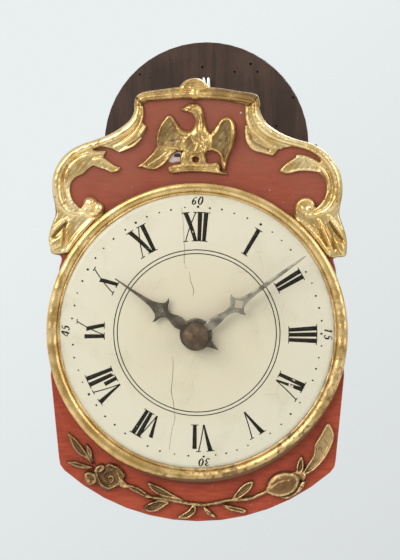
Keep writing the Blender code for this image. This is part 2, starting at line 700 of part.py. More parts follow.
def build_chain_wheel():
    """Grooved wheel with spikes for the chain, and its ratchet, free to turn back on the great arbor."""
    bore = GREAT_ARBOR_RADIUS + RUNNING_FIT
    rear, front = CHAIN_WHEEL_REAR, CHAIN_WHEEL_FRONT
    flange, groove = CHAIN_FLANGE_RADIUS, CHAIN_GROOVE_RADIUS
    slope = (flange - groove) / 2
    profile = [
        (bore, rear),
        (flange, rear),
        (flange, rear + CHAIN_FLANGE_THICK),
        (groove, rear + CHAIN_FLANGE_THICK + slope / 2),
        (groove, front - CHAIN_FLANGE_THICK - slope / 2),
        (flange, front - CHAIN_FLANGE_THICK),
        (flange, front),
        (bore, front),
    ]
    wheel = piece("chain_wheel", turned_mesh(profile, GREAT_AXIS, 18, ring=True), "pale_wood")
    tip = flange - FIT
    root = tip - RATCHET_TOOTH_HEIGHT
    ratchet = saw_outline(RATCHET_TEETH, [(tip, 0.0), (root, 0.1)], GREAT_AXIS)
    ratchet_bore = circle(bore + FIT, 16, GREAT_AXIS)
    tools = [upright_mesh([ratchet, ratchet_bore], RATCHET_REAR, rear + FIT)]
    middle = -(rear + front) / 2
    for x, z in circle(1.0, CHAIN_SPIKES, phase=math.radians(8)):
        reach = (groove - SPIKE_RADIUS, groove + SPIKE_HEIGHT)
        spike = [(x * r + GREAT_AXIS[0], middle, z * r + GREAT_AXIS[1]) for r in reach]
        tools.append(wire_mesh(spike, SPIKE_RADIUS, 0))
    combine(wheel, tools, "UNION")
    set_origin(wheel, (GREAT_AXIS[0], 0.0, GREAT_AXIS[1]))


def build_click():
    """Spring click: a steel strip with its foot on a spoke of the great wheel and its nose at the ratchet."""
    rear = GREAT_WHEEL_FRONT + FIT
    nose = CHAIN_FLANGE_RADIUS + CLICK_CLEAR
    heel = nose + CLICK_REACH
    half = CLICK_WIDTH / 2
    foot_end = heel + CLICK_FOOT
    outer = [(0.13, 12), (-0.13, 22), (-0.51, 29), (-0.9, 33)]
    inner = [(-1.0, 32), (-0.58, 27), (-0.22, 19), (0.02, 9.5)]
    strip = []
    for part, degrees in outer + inner:
        radius = heel + part * CLICK_REACH
        turn = math.radians(degrees)
        strip.append((-radius * math.cos(turn), radius * math.sin(turn)))
    outline = [(-heel, half), (-heel, -half), (-foot_end, -half), (-foot_end, half), *strip]
    click = turned_about(outline, 0.0, GREAT_AXIS)
    piece("click", upright_mesh([click], rear, rear + RATCHET_THICK), "steel", GREAT_AXIS)


def pinion_span(wheel_rear, wheel_front):
    """Rear and front depth of a lantern pinion round a wheel."""
    side = PINION_SIDE_ROOM + PINION_CAP_THICK
    return wheel_rear - side, wheel_front + side


def second_phase():
    """Angle of a second wheel tooth, so that a gap faces the escape pinion."""
    return math.pi / 2 + math.pi / SECOND_TEETH


def build_second_train():
    """Second arbor with its lantern pinion and wheel."""
    span = pinion_span(GREAT_WHEEL_REAR, GREAT_WHEEL_FRONT)
    seat = SECOND_WHEEL_REAR - FIT
    collars = [(ARBOR_RADIUS + COLLAR_RIM, seat - COLLAR_THICK, seat)]
    ends = (BACK_PLATE_REAR, FRONT_PLATE_FRONT)
    arbor("second_arbor", SECOND_AXIS, ARBOR_RADIUS, PIVOT_RADIUS, *ends, collars)
    phase = meshed_phase(math.pi / 2, great_phase(), GREAT_TEETH, PINION_PINS)
    lantern_pinion("second_pinion", SECOND_PINION_RADIUS, GREAT_PIN_RADIUS, span, phase, SECOND_AXIS)
    bore = circle(ARBOR_RADIUS + FIT, 14, SECOND_AXIS)
    teeth = lantern_teeth(SECOND_TEETH, SECOND_MODULE, SECOND_PIN_RADIUS, second_phase(), SECOND_AXIS)
    rim = SECOND_RADIUS - SECOND_PIN_RADIUS - RUNNING_FIT - RIM_WIDTH
    outlines = [teeth, bore, *crossings(WHEEL_HUB_RADIUS, rim, SECOND_AXIS)]
    wheel = upright_mesh(outlines, SECOND_WHEEL_REAR, SECOND_WHEEL_FRONT)
    piece("second_wheel", wheel, "brass", SECOND_AXIS)


def build_escapement():
    """Escape arbor with pinion and wheel, the anchor above it, and the crutch behind the back plate."""
    span = pinion_span(SECOND_WHEEL_REAR, SECOND_WHEEL_FRONT)
    seat = ESCAPE_WHEEL_FRONT + FIT
    collars = [(ARBOR_RADIUS + COLLAR_RIM, seat, seat + COLLAR_THICK)]
    ends = (BACK_PLATE_REAR, FRONT_PLATE_FRONT)
    arbor("escape_arbor", ESCAPE_AXIS, ARBOR_RADIUS, PIVOT_RADIUS, *ends, collars)
    phase = meshed_phase(math.pi / 2, second_phase(), SECOND_TEETH, PINION_PINS)
    lantern_pinion("escape_pinion", ESCAPE_PINION_RADIUS, SECOND_PIN_RADIUS, span, phase, ESCAPE_AXIS)
    bore = circle(ARBOR_RADIUS + FIT, 14, ESCAPE_AXIS)
    root = ESCAPE_RADIUS - ESCAPE_TOOTH_HEIGHT
    teeth = saw_outline(ESCAPE_TEETH, [(ESCAPE_RADIUS, 0.0), (root, 0.35), (root, 0.8)], ESCAPE_AXIS)
    outlines = [teeth, bore, *crossings(WHEEL_HUB_RADIUS, root - RIM_WIDTH, ESCAPE_AXIS)]
    wheel = upright_mesh(outlines, ESCAPE_WHEEL_REAR, ESCAPE_WHEEL_FRONT)
    piece("escape_wheel", wheel, "brass", ESCAPE_AXIS)
    build_anchor()


def build_anchor():
    """Anchor with its two arms over the escape wheel, on an arbor that carries the crutch."""
    middle = (ESCAPE_WHEEL_REAR + ESCAPE_WHEEL_FRONT) / 2
    rear, front = middle - ANCHOR_THICK / 2, middle + ANCHOR_THICK / 2
    crutch_depth = BACK_PLATE_REAR - WIRE_RADIUS - 2 * FIT
    arbor_rear = crutch_depth - WIRE_RADIUS
    seat = front + FIT
    collars = [(ARBOR_RADIUS + COLLAR_RIM, seat, seat + COLLAR_THICK)]
    ends = (arbor_rear, FRONT_PLATE_FRONT)
    arbor("anchor_arbor", ANCHOR_AXIS, ARBOR_RADIUS, PIVOT_RADIUS, *ends, collars)
    clear = ESCAPE_RADIUS + PALLET_CLEAR
    tip_side = math.pi / 2 - ANCHOR_SPAN
    inside = arc(clear, tip_side, math.pi - tip_side, 10, ESCAPE_AXIS)
    inside[3:8] = arc(clear + 0.4 * ANCHOR_ARM, math.radians(68), math.radians(112), 4, ESCAPE_AXIS)
    outside = arc(clear + ANCHOR_ARM, math.pi - tip_side, math.radians(112), 3, ESCAPE_AXIS)
    outside += arc(ANCHOR_HUB_RADIUS, math.radians(190), math.radians(-10), 6, ANCHOR_AXIS)
    outside += arc(clear + ANCHOR_ARM, math.radians(68), tip_side, 3, ESCAPE_AXIS)
    outlines = [inside + outside, circle(ARBOR_RADIUS + FIT, 14, ANCHOR_AXIS)]
    piece("anchor", upright_mesh(outlines, rear, front), "steel", ANCHOR_AXIS)
    x, z = ANCHOR_AXIS
    top = z - PIVOT_RADIUS - FIT
    low = z - CRUTCH_LENGTH
    crutch = [
        (x, -crutch_depth, top),
        (x, -crutch_depth, low + 2 * WIRE_RADIUS),
        (x, -crutch_depth + 0.6 * WIRE_RADIUS, low + 0.6 * WIRE_RADIUS),
        (x, -crutch_depth + 2 * WIRE_RADIUS, low),
        (x, -PENDULUM_DEPTH + 3 * MM, low),
    ]
    piece("crutch", wire_mesh(crutch, WIRE_RADIUS, 1), "steel", ANCHOR_AXIS, rounded=True)
    place = suspension_place()
    hook = [
        (place[0], -BACK_PLATE_FRONT + 2 * MM, place[1]),
        (place[0], -PENDULUM_DEPTH - WIRE_RADIUS, place[1]),
        (place[0], -PENDULUM_DEPTH + WIRE_RADIUS, place[1] + 0.5 * WIRE_RADIUS),
        (place[0], -PENDULUM_DEPTH + 2 * WIRE_RADIUS, place[1] + 3 * WIRE_RADIUS),
    ]
    piece("suspension_wire", wire_mesh(hook, WIRE_RADIUS, 1), "steel", rounded=True)


def suspension_place():
    """Where the pendulum's suspension wire leaves the back plate, above the anchor arbor."""
    return ANCHOR_AXIS[0], (ANCHOR_AXIS[1] + CEILING) / 2 + bush_radius(PIVOT_RADIUS) / 2


def minute_phase():
    """Angle of a minute wheel tooth: one faces the drive wheel below."""
    return -math.pi / 2


def drive_phase():
    """Angle of a drive wheel tooth, from the mesh with the minute wheel above it."""
    return meshed_phase(-math.pi / 2, minute_phase(), DRIVE_TEETH, DRIVE_TEETH)


def intermediate_phase():
    """Angle of an intermediate wheel tooth, from the mesh with the minute wheel."""
    return meshed_phase(INTERMEDIATE_TURN, minute_phase(), DRIVE_TEETH, INTERMEDIATE_TEETH)


def build_motion_work():
    """Minute arbor and wheel, intermediate wheel on its stud, and the hour wheel with its pipe."""
    rear = FRONT_PLATE_REAR - 2 * FIT
    profile = [
        (0.0, rear - COLLAR_THICK),
        (MINUTE_ARBOR_RADIUS + COLLAR_RIM, rear - COLLAR_THICK),
        (MINUTE_ARBOR_RADIUS + COLLAR_RIM, rear),
        (MINUTE_ARBOR_RADIUS, rear),
        (MINUTE_ARBOR_RADIUS, NUT_FRONT - NUT_HEIGHT / 4),
        (0.0, NUT_FRONT - NUT_HEIGHT / 4),
    ]
    piece("minute_arbor", turned_mesh(profile, MINUTE_AXIS, 14), "steel", MINUTE_AXIS, rounded=True)
    minute = [
        spur_teeth(DRIVE_TEETH, minute_phase(), MINUTE_AXIS),
        circle(MINUTE_ARBOR_RADIUS + FIT, 14, MINUTE_AXIS),
    ]
    piece("minute_wheel", upright_mesh(minute, MOTION_REAR, MOTION_FRONT), "brass", MINUTE_AXIS)

    stud_front = HOUR_WHEEL_FRONT + PINION_CAP_THICK + 2 * FIT
    stud = rod_mesh(STUD_RADIUS, FRONT_PLATE_REAR, stud_front, INTERMEDIATE_AXIS)
    piece("intermediate_stud", stud, "iron", rounded=True)
    bore = STUD_RADIUS + RUNNING_FIT
    teeth = spur_teeth(INTERMEDIATE_TEETH, intermediate_phase(), INTERMEDIATE_AXIS)
    rim = INTERMEDIATE_RADIUS - RIM_WIDTH - MOTION_MODULE
    hole = circle(bore, 14, INTERMEDIATE_AXIS)
    outlines = [teeth, hole, *crossings(WHEEL_HUB_RADIUS, rim, INTERMEDIATE_AXIS)]
    wheel_mesh = upright_mesh(outlines, MOTION_REAR, MOTION_FRONT)
    pin_phase = INTERMEDIATE_TURN + math.pi
    cap = INTERMEDIATE_PINION_RADIUS + INTERMEDIATE_PIN_RADIUS + PINION_CAP_RIM
    cap_rear = HOUR_WHEEL_FRONT + FIT
    tools = [ring_mesh(bore, cap, cap_rear, cap_rear + PINION_CAP_THICK, INTERMEDIATE_AXIS)]
    ends = (MOTION_REAR + MOTION_THICK / 2, cap_rear + FIT)
    for place in circle(INTERMEDIATE_PINION_RADIUS, INTERMEDIATE_PINS, INTERMEDIATE_AXIS, pin_phase):
        tools.append(rod_mesh(INTERMEDIATE_PIN_RADIUS, *ends, place, TRUNDLE_SIDES))
    wheel = piece("intermediate_wheel", wheel_mesh, "brass")
    combine(wheel, tools, "UNION")
    set_origin(wheel, (INTERMEDIATE_AXIS[0], 0.0, INTERMEDIATE_AXIS[1]))

    phase = meshed_phase(INTERMEDIATE_TURN + math.pi, pin_phase, INTERMEDIATE_PINS, HOUR_TEETH)
    teeth = lantern_teeth(HOUR_TEETH, HOUR_MODULE, INTERMEDIATE_PIN_RADIUS, phase, MINUTE_AXIS)
    rim = HOUR_RADIUS - INTERMEDIATE_PIN_RADIUS - RUNNING_FIT - RIM_WIDTH
    bore_outline = circle(HOUR_PIPE_BORE, 16, MINUTE_AXIS)
    outlines = [teeth, bore_outline, *crossings(WHEEL_HUB_RADIUS, rim, MINUTE_AXIS)]
    hour_mesh = upright_mesh(outlines, HOUR_WHEEL_REAR, HOUR_WHEEL_FRONT)
    hour = piece("hour_wheel", hour_mesh, "brass", MINUTE_AXIS)
    pipe_front = HOUR_HAND_FRONT + FIT
    pipe = ring_mesh(HOUR_PIPE_BORE, HOUR_PIPE_RADIUS, HOUR_WHEEL_REAR + FIT, pipe_front, MINUTE_AXIS)
    combine(hour, [pipe], "UNION")


def build_hands():
    """Pierced steel hands, drawn along +X from the axis, and the round nut in front of them."""
    hour_side = [
        (8.6, 2.5), (12.5, 3.0), (15.5, 2.6), (18.7, 1.6), (21.5, 3.4), (23.0, 8.1), (24.6, 5.0), (28.0, 2.6),
        (36.0, 1.2), (54.0, 0.3),
    ]
    minute_side = [
        (5.8, 1.8), (9.5, 2.6), (12.5, 2.9), (16.5, 2.2), (20.5, 1.4), (25.2, 2.8), (27.3, 6.9), (28.9, 4.6),
        (32.5, 2.0), (45.0, 1.15), (74.0, 0.3),
    ]
    hour = {
        "unit": HOUR_HAND_LENGTH / HOUR_HAND_UNITS,
        "side": hour_side,
        "tail": [(-8.1, 2.6), (-11.2, 1.2), (-14.6, 0.3)],
        "hub": 9.0,
        "window": (23.8, 2.6),
        "bore": HOUR_PIPE_RADIUS + FIT,
        "depth": (HOUR_HAND_BACK, HOUR_HAND_FRONT),
        "turns": (SHOWN_HOUR + SHOWN_MINUTES / 60) / 12,
    }
    minute = {
        "unit": MINUTE_HAND_LENGTH / MINUTE_HAND_UNITS,
        "side": minute_side,
        "tail": [],
        "hub": 6.2,
        "window": (28.4, 2.9),
        "bore": MINUTE_ARBOR_RADIUS + FIT,
        "depth": (MINUTE_HAND_BACK, MINUTE_HAND_FRONT),
        "turns": SHOWN_MINUTES / 60,
    }
    for name, hand in (("hour_hand", hour), ("minute_hand", minute)):
        angle = math.pi / 2 - hand["turns"] * math.tau
        upper = smooth(hand["side"], 2)
        lower = [(u, -v) for u, v in reversed(upper)]
        hub_start = math.atan2(lower[-1][1], lower[-1][0])
        if hand["tail"]:
            low_tail = [(u, -v) for u, v in hand["tail"]]
            tail_start = math.atan2(low_tail[0][1], low_tail[0][0])
            around = arc(hand["hub"], hub_start, tail_start, 6)[1:-1]
            hub_edge = around + low_tail + [(u, v) for u, v in reversed(hand["tail"])]
            hub_edge += [(u, -v) for u, v in reversed(around)]
        else:
            hub_edge = arc(hand["hub"], hub_start, -hub_start - math.tau, 12)[1:-1]
        middle, half = hand["window"]
        window = [(middle - half, 0.0), (middle, half), (middle + half, 0.0), (middle, -half)]
        outline, window = (
            turned_about([(u * hand["unit"], v * hand["unit"]) for u, v in points], angle, MINUTE_AXIS)
            for points in (upper + lower + hub_edge, window)
        )
        bore = circle(hand["bore"], 16, MINUTE_AXIS)
        piece(name, upright_mesh([outline, bore, window], *hand["depth"]), "steel", MINUTE_AXIS)
    bore = MINUTE_ARBOR_RADIUS + FIT
    nut = [
        (bore, NUT_BACK),
        (0.86 * NUT_RADIUS, NUT_BACK),
        (NUT_RADIUS, NUT_BACK + 0.25 * NUT_HEIGHT),
        (NUT_RADIUS, NUT_BACK + 0.6 * NUT_HEIGHT),
        (0.86 * NUT_RADIUS, NUT_BACK + 0.85 * NUT_HEIGHT),
        (0.55 * NUT_RADIUS, NUT_FRONT),
        (bore, NUT_BACK + 0.93 * NUT_HEIGHT),
    ]
    piece("hand_nut", turned_mesh(nut, MINUTE_AXIS, 16, ring=True), "bronze", MINUTE_AXIS, rounded=True)


def carved(points):
    """Drawn carving points at the size of this shield."""
    return [(x * CARVING, z * CARVING) for x, z in points]


def shield_outline():
    """Edge of the shield: curved foot, straight cheeks, the bezel's round, ears, scrolls and crest."""
    foot_radius, foot_low, foot_half = 111.0, -105.0, 73.5
    foot_turn = math.asin(foot_half / foot_radius)
    foot = arc(foot_radius, -math.pi / 2, -math.pi / 2 + foot_turn, 6, (0.0, foot_low + foot_radius))
    cheek = [(75.9, -74.0), (76.6, -70.0), (81.0, -24.0)]
    round_edge = BEZEL_OUTER / CARVING - 0.6
    side = arc(round_edge, math.radians(-12), math.asin(30.0 / round_edge), 7)
    ear = smooth(
        [(75.8, 36.4), (74.7, 40.2), (76.0, 42.5), (79.2, 43.0), (81.0, 47.0), (80.9, 53.0), (79.1, 60.0),
         (77.9, 66.0), (78.6, 72.0), (79.1, 79.0), (78.4, 86.0), (76.1, 92.6), (71.9, 97.8), (65.5, 101.8),
         (58.2, 104.6), (51.4, 106.3), (44.8, 108.7), (38.9, 113.6), (34.9, 119.8), (33.4, 126.0)],
        2,
    )
    crest = [(33.0, 129.6), (31.4, 130.9), (16.0, 133.2), (0.0, 134.2)]
    right = foot + cheek + side + ear + crest
    left = [(-x, z) for x, z in reversed(right[1:-1])]
    return carved(right + left)


def build_shield():
    """Shield plank with the hole for the hands' pipe and blind holes for its four dowels."""
    hole = circle(HOUR_PIPE_RADIUS + DIAL_HOLE_CLEAR, 20, MINUTE_AXIS)
    mesh = upright_mesh([shield_outline(), hole], SHIELD_BACK, SHIELD_FRONT)
    shield = piece("shield_board", mesh, "red_paint")
    heights = {"top": (CEILING + CASE_TOP) / 2, "bottom": (CASE_BOTTOM + FLOOR) / 2}
    drills = []
    for level, height in heights.items():
        for side, word in ((-1, "left"), (1, "right")):
            place = (side * DOWEL_SPREAD, height)
            hole_end = SHIELD_BACK + DOWEL_SHIELD_DEPTH
            drills.append(rod_mesh(DOWEL_RADIUS + FIT, SHIELD_BACK - FIT, hole_end, place))
            rear = SHIELD_BACK - DOWEL_BOARD_DEPTH + FIT
            dowel = rod_mesh(DOWEL_RADIUS, rear, hole_end - FIT, place)
            piece(f"{level}_{word}_dowel", dowel, "pale_wood", rounded=True)
    combine(shield, drills, "DIFFERENCE")


def build_dial():
    """Domed dial disc and the reeded ring moulding round it."""
    steps = 4
    hole = HOUR_PIPE_RADIUS + DIAL_HOLE_CLEAR
    edge = DIAL_BACK + DIAL_EDGE_THICK
    face = []
    for k in range(steps + 1):
        radius = hole + (DIAL_RADIUS - hole) * k / steps
        face.append((radius, edge + DIAL_RISE * (1 - (radius / DIAL_RADIUS) ** 2)))
    profile = [(hole, DIAL_BACK), *face, (DIAL_RADIUS, DIAL_BACK)]
    piece("dial", turned_mesh(profile, MINUTE_AXIS, 40, ring=True), "dial_paint", rounded=True)
    width = BEZEL_OUTER - BEZEL_INNER
    shape = [
        (0.0, 0.0), (0.0, 0.55), (0.18, 0.8), (0.4, 0.62), (0.56, 0.92), (0.78, 1.0), (1.0, 0.6), (1.0, 0.0),
    ]
    moulding = [(BEZEL_INNER + across * width, CARVING_BASE + up * BEZEL_HEIGHT) for across, up in shape]
    piece("dial_bezel", turned_mesh(moulding, MINUTE_AXIS, 40, ring=True), "gilding", rounded=True)


def stroke_mesh(stroke, relief):
    """One carved stroke: a tapering round bar along (x, z, half width) points, flattened to a relief."""
    curve = bpy.data.curves.new("stroke", "CURVE")
    curve.dimensions = "3D"
    curve.bevel_depth = CARVING / MM
    curve.bevel_resolution = 1
    curve.resolution_u = 1
    curve.use_fill_caps = True
    spline = curve.splines.new("BEZIER")
    spline.bezier_points.add(len(stroke) - 1)
    for point, (x, z, half) in zip(spline.bezier_points, stroke):
        point.co = (x * CARVING / MM, 0.0, z * CARVING / MM)
        point.handle_left_type = "AUTO"
        point.handle_right_type = "AUTO"
        point.radius = half
    mesh = curve_mesh(curve)
    mesh.transform(Matrix.Diagonal((1.0, relief, 1.0, 1.0)))
    mesh.transform(Matrix.Translation((0.0, -CARVING_BASE, 0.0)))
    return mesh


def boss_mesh(x, z, radius, relief):
    """A round knob of carving, as high over the shield as its relief."""
    turns = [math.pi * k / 4 for k in range(5)]
    profile = [
        (radius * CARVING * math.sin(turn), CARVING_BASE - radius * CARVING * relief * math.cos(turn))
        for turn in turns
    ]
    profile[0] = (0.0, profile[0][1])
    profile[-1] = (0.0, profile[-1][1])
    return turned_mesh(profile, (x * CARVING, z * CARVING), 9)


def carving(name, strokes, relief, bosses=(), cuts=()):
    """A carved piece: strokes and knobs joined, then cut flat on the shield and clear of the bezel."""
    thing = piece(name, stroke_mesh(strokes[0], relief), "gilding")
    tools = [stroke_mesh(stroke, relief) for stroke in strokes[1:]]
    tools += [boss_mesh(*boss, relief) for boss in bosses]
    combine(thing, tools, "UNION")
    reach = 2 * BEZEL_OUTER
    plank = rectangle(-reach, -reach, reach, reach)
    tools = [
        upright_mesh([plank], 0.0, CARVING_BASE),
        rod_mesh(BEZEL_OUTER + FIT, SHIELD_BACK, NUT_FRONT, MINUTE_AXIS, 48),
    ]
    tools += [upright_mesh([cut], SHIELD_BACK, NUT_FRONT) for cut in cuts]
    combine(thing, tools, "DIFFERENCE")
    thing.data.shade_smooth()
    thing.data.set_sharp_from_angle(angle=math.radians(50))


def mirrored(strokes, side):
    """Strokes drawn on the right, kept or mirrored to the left."""
    return [[(side * x, z, half) for x, z, half in stroke] for stroke in strokes]


def build_crest_and_scrolls():
    """Crest bar with its knob, and a scroll with leaves, volute and ear on either side."""
    joint = 124.5 * CARVING
    reach = 2 * BEZEL_OUTER
    below = rectangle(-reach, -reach, reach, joint + FIT / 2)
    above = rectangle(-reach, joint - FIT / 2, reach, reach)
    bar = [
        (-31.2, 128.4, 2.6), (-16.0, 131.0, 2.9), (0.5, 131.9, 3.1), (16.0, 130.9, 2.9), (31.0, 128.2, 2.6),
    ]
    knob = [(-7.2, 134.6, 2.2), (-4.0, 136.2, 3.1), (0.5, 136.6, 3.1), (5.8, 134.6, 2.2)]
    ends = [[(31.2, 128.6, 2.6), (31.6, 122.0, 2.4)]]
    carving("crest_moulding", [bar, knob, *mirrored(ends, -1), *ends], 0.95, cuts=[below])
    sweep = [
        (31.4, 128.0, 2.4), (31.9, 121.5, 2.6), (34.2, 115.2, 3.0), (40.2, 109.5, 3.3), (48.7, 105.1, 3.2),
        (58.7, 101.9, 3.1), (67.2, 97.8, 3.2), (72.9, 92.0, 3.3), (75.5, 84.6, 3.2), (75.7, 77.5, 3.0),
        (74.3, 71.3, 2.7), (73.6, 66.5, 2.6),
    ]
    inner_ridge = [
        (51.8, 98.7, 1.4), (60.5, 94.8, 2.0), (66.8, 89.8, 2.3), (70.2, 83.1, 2.4), (70.2, 76.3, 2.4),
        (67.2, 70.6, 2.2), (62.6, 68.0, 2.2),
    ]
    neck = [(64.6, 68.0, 2.1), (58.0, 68.0, 2.4)]
    volute = (57.4, 70.6, 4.4)
    ear_edge = [(74.0, 68.0, 2.4), (77.4, 58.4, 3.1), (78.9, 50.5, 2.9), (77.5, 45.2, 2.2)]
    ear_rib = [(69.2, 66.0, 2.4), (71.6, 56.0, 3.2), (73.6, 46.8, 3.2)]
    ear_web = [(60.0, 65.8, 3.0), (66.4, 58.6, 4.0), (71.0, 48.4, 2.6)]
    crest_leaf = [(29.4, 118.5, 1.6), (31.6, 110.8, 3.0), (38.0, 104.4, 3.0), (44.2, 99.6, 0.8)]
    inner_leaf = [
        (65.5, 89.0, 1.4), (58.6, 93.2, 2.7), (52.0, 93.4, 2.7), (46.8, 90.4, 1.5), (42.6, 91.0, 0.5),
    ]
    strokes = [sweep, inner_ridge, neck, ear_edge, ear_rib, ear_web, crest_leaf, inner_leaf]
    for side, name in ((-1, "left_scroll"), (1, "right_scroll")):
        boss = (side * volute[0], volute[1], volute[2])
        carving(name, mirrored(strokes, side), 0.9, [boss], [above])


def build_eagle():
    """Gilded bird with spread wings, looking to the left, on its perch."""
    strokes = [
        [(-8.8, 122.6, 0.6), (-6.4, 123.2, 1.5), (-2.2, 123.6, 3.3), (1.4, 121.4, 3.1), (2.0, 116.8, 3.0),
         (2.2, 112.6, 3.6), (1.6, 108.0, 4.7), (0.2, 103.0, 5.2), (-1.2, 98.2, 3.6)],
        [(-4.0, 109.0, 2.6), (-8.9, 110.8, 2.1), (-12.0, 115.0, 2.0), (-14.6, 119.0, 1.4)],
        [(-15.2, 118.0, 2.2), (-17.4, 113.2, 4.6), (-17.8, 108.0, 5.4), (-16.2, 103.4, 3.6)],
        [(-1.0, 103.8, 4.4), (-11.0, 104.6, 4.4), (-18.4, 105.2, 3.4)],
        [(-10.0, 101.4, 3.2), (-18.0, 97.2, 4.2), (-24.3, 94.0, 3.8), (-30.4, 92.2, 1.2)],
        [(15.4, 117.4, 2.0), (19.3, 113.8, 2.3), (20.0, 109.0, 2.4), (18.0, 102.8, 2.3), (15.9, 96.0, 1.9),
         (15.0, 90.2, 1.6)],
        [(14.4, 115.6, 2.8), (13.8, 109.8, 4.8), (13.0, 104.0, 5.0), (14.4, 97.2, 2.4)],
        [(4.0, 106.4, 4.4), (11.0, 107.4, 4.8)],
        [(-2.6, 100.0, 2.6), (-4.2, 95.4, 1.9), (-5.2, 91.2, 1.6)],
        [(1.6, 100.0, 2.6), (3.0, 95.6, 1.8), (4.2, 91.2, 1.6)],
        [(3.4, 95.4, 1.4), (6.6, 93.2, 1.1), (10.2, 94.2, 0.7)],
        [(-15.4, 89.6, 1.2), (-8.0, 90.4, 2.2), (3.0, 90.4, 2.4), (11.0, 89.8, 2.2), (16.8, 88.2, 1.2)],
    ]
    carving("eagle", strokes, 0.72)


def build_garland():
    """Rose, bud, stem and leaves below the dial."""
    heart = (-49.2, -79.2)
    rose = [(*heart, 4.6)]
    rose += [(x, z, 3.6) for x, z in circle(4.4, 5, heart, math.radians(18))]
    left_leaves = [
        [(-51.0, -78.0, 3.6), (-57.2, -75.0, 2.8), (-60.0, -71.4, 1.6)],
        [(-58.6, -72.6, 1.6), (-65.2, -65.6, 2.4), (-70.8, -56.0, 0.6)],
        [(-58.6, -73.0, 1.5), (-59.6, -66.0, 1.8), (-61.7, -61.0, 0.5)],
        [(-57.0, -74.6, 1.7), (-65.0, -73.2, 2.0), (-72.0, -71.4, 0.6)],
    ]
    stem = [
        [(-43.0, -81.0, 2.4), (-37.5, -84.4, 1.7), (-31.0, -87.8, 1.4), (-23.0, -90.4, 1.2),
         (-14.0, -91.6, 1.4), (-5.0, -93.2, 1.5), (4.0, -94.0, 1.8), (13.0, -93.0, 1.5), (21.0, -90.8, 1.3),
         (29.0, -90.2, 1.3), (34.4, -88.0, 1.6), (38.6, -84.2, 2.4)],
        [(-11.0, -91.6, 1.6), (-19.6, -86.2, 2.7), (-26.0, -82.6, 1.6)],
        [(-14.0, -91.8, 1.4), (-22.4, -94.4, 2.6), (-29.6, -96.4, 1.0)],
        [(0.0, -94.4, 1.5), (-4.6, -97.6, 1.4), (-10.4, -101.0, 0.7)],
        [(4.0, -94.6, 1.5), (7.0, -98.0, 1.3), (10.6, -100.8, 0.7)],
        [(19.4, -91.0, 1.2), (26.2, -85.4, 2.8), (31.4, -81.6, 0.8)],
        [(12.0, -93.6, 1.3), (20.8, -96.2, 2.0), (27.2, -97.6, 1.4)],
    ]
    bud = [
        [(37.8, -84.4, 2.6), (45.6, -81.2, 5.6), (54.0, -78.6, 3.9)],
        [(44.4, -86.4, 2.6), (52.0, -85.4, 2.8), (59.6, -81.2, 0.7)],
        [(47.0, -78.0, 2.4), (54.0, -74.8, 0.9)],
        [(53.6, -78.0, 1.6), (55.6, -72.2, 2.0), (57.6, -67.4, 0.6)],
        [(55.0, -78.6, 1.8), (64.6, -70.4, 4.0), (69.8, -59.6, 4.7), (72.6, -48.4, 0.9)],
    ]
    carving("flower_garland", left_leaves + stem + bud, 0.62, rose)


def main():
    """Clear the scene and build the clock from the wall to the hands."""
    for thing in list(bpy.data.objects):
        bpy.data.objects.remove(thing)
    build_case()
    build_plates()
    build_doors()
    build_hanging_loop()
    build_great_train()
    build_second_train()
    build_escapement()
    build_motion_work()
    build_shield()
    build_dial()
    build_crest_and_scrolls()
    build_eagle()
    build_garland()
    build_hands()


main()
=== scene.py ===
"""Looks of a Black Forest wall clock: gilded shield, painted dial, pierced hands, case and movement."""

import logging
import math
from dataclasses import dataclass, field
from enum import Enum
from typing import Callable, Iterator, Sequence, Union

import bmesh
import bpy
import numpy as np
from mathutils import Matrix, Vector


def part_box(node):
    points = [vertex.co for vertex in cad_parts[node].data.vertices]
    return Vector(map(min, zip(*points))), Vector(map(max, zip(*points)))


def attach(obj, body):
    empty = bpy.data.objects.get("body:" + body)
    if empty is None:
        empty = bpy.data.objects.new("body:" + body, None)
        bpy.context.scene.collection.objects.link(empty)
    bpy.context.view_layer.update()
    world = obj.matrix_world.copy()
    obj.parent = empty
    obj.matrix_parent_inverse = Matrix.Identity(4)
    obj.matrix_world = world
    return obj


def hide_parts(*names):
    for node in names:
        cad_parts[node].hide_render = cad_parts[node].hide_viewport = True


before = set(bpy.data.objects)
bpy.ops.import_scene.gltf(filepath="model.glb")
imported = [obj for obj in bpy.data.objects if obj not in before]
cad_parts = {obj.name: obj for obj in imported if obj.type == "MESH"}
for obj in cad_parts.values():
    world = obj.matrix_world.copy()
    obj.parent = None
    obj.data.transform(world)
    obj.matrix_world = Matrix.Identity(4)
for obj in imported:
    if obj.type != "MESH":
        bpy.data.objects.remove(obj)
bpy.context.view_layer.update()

LOG = logging.getLogger("wall_clock")
MM = 0.001
WELD_GAP = 1e-6
SOFT_ANGLE = math.radians(32)
TINY = 1e-12
# Sockets of a Mix node that blend colours.
COLOUR_A, COLOUR_B, COLOUR_RESULT = 6, 7, 2

Colour = tuple[float, float, float, float]
Points = Sequence[tuple[float, float]]
Spine = Sequence[tuple[float, float, float]]
Material = bpy.types.Material
Socket = bpy.types.NodeSocket
Value = Union[float, Colour, Socket]


class Body(Enum):
    """Bodies of the frame that made pieces ride on."""

    CASE = "case"
    HOUR = "hour_train"
    MINUTE = "minute_train"


class Slot(Enum):
    """Material slots of the record, passed along with made pieces."""

    RED_PAINT = "red_paint"
    GILDING = "gilding"
    DIAL_PAINT = "dial_paint"
    BROWN_WOOD = "brown_wood"
    STEEL = "steel"
    BRONZE = "bronze"


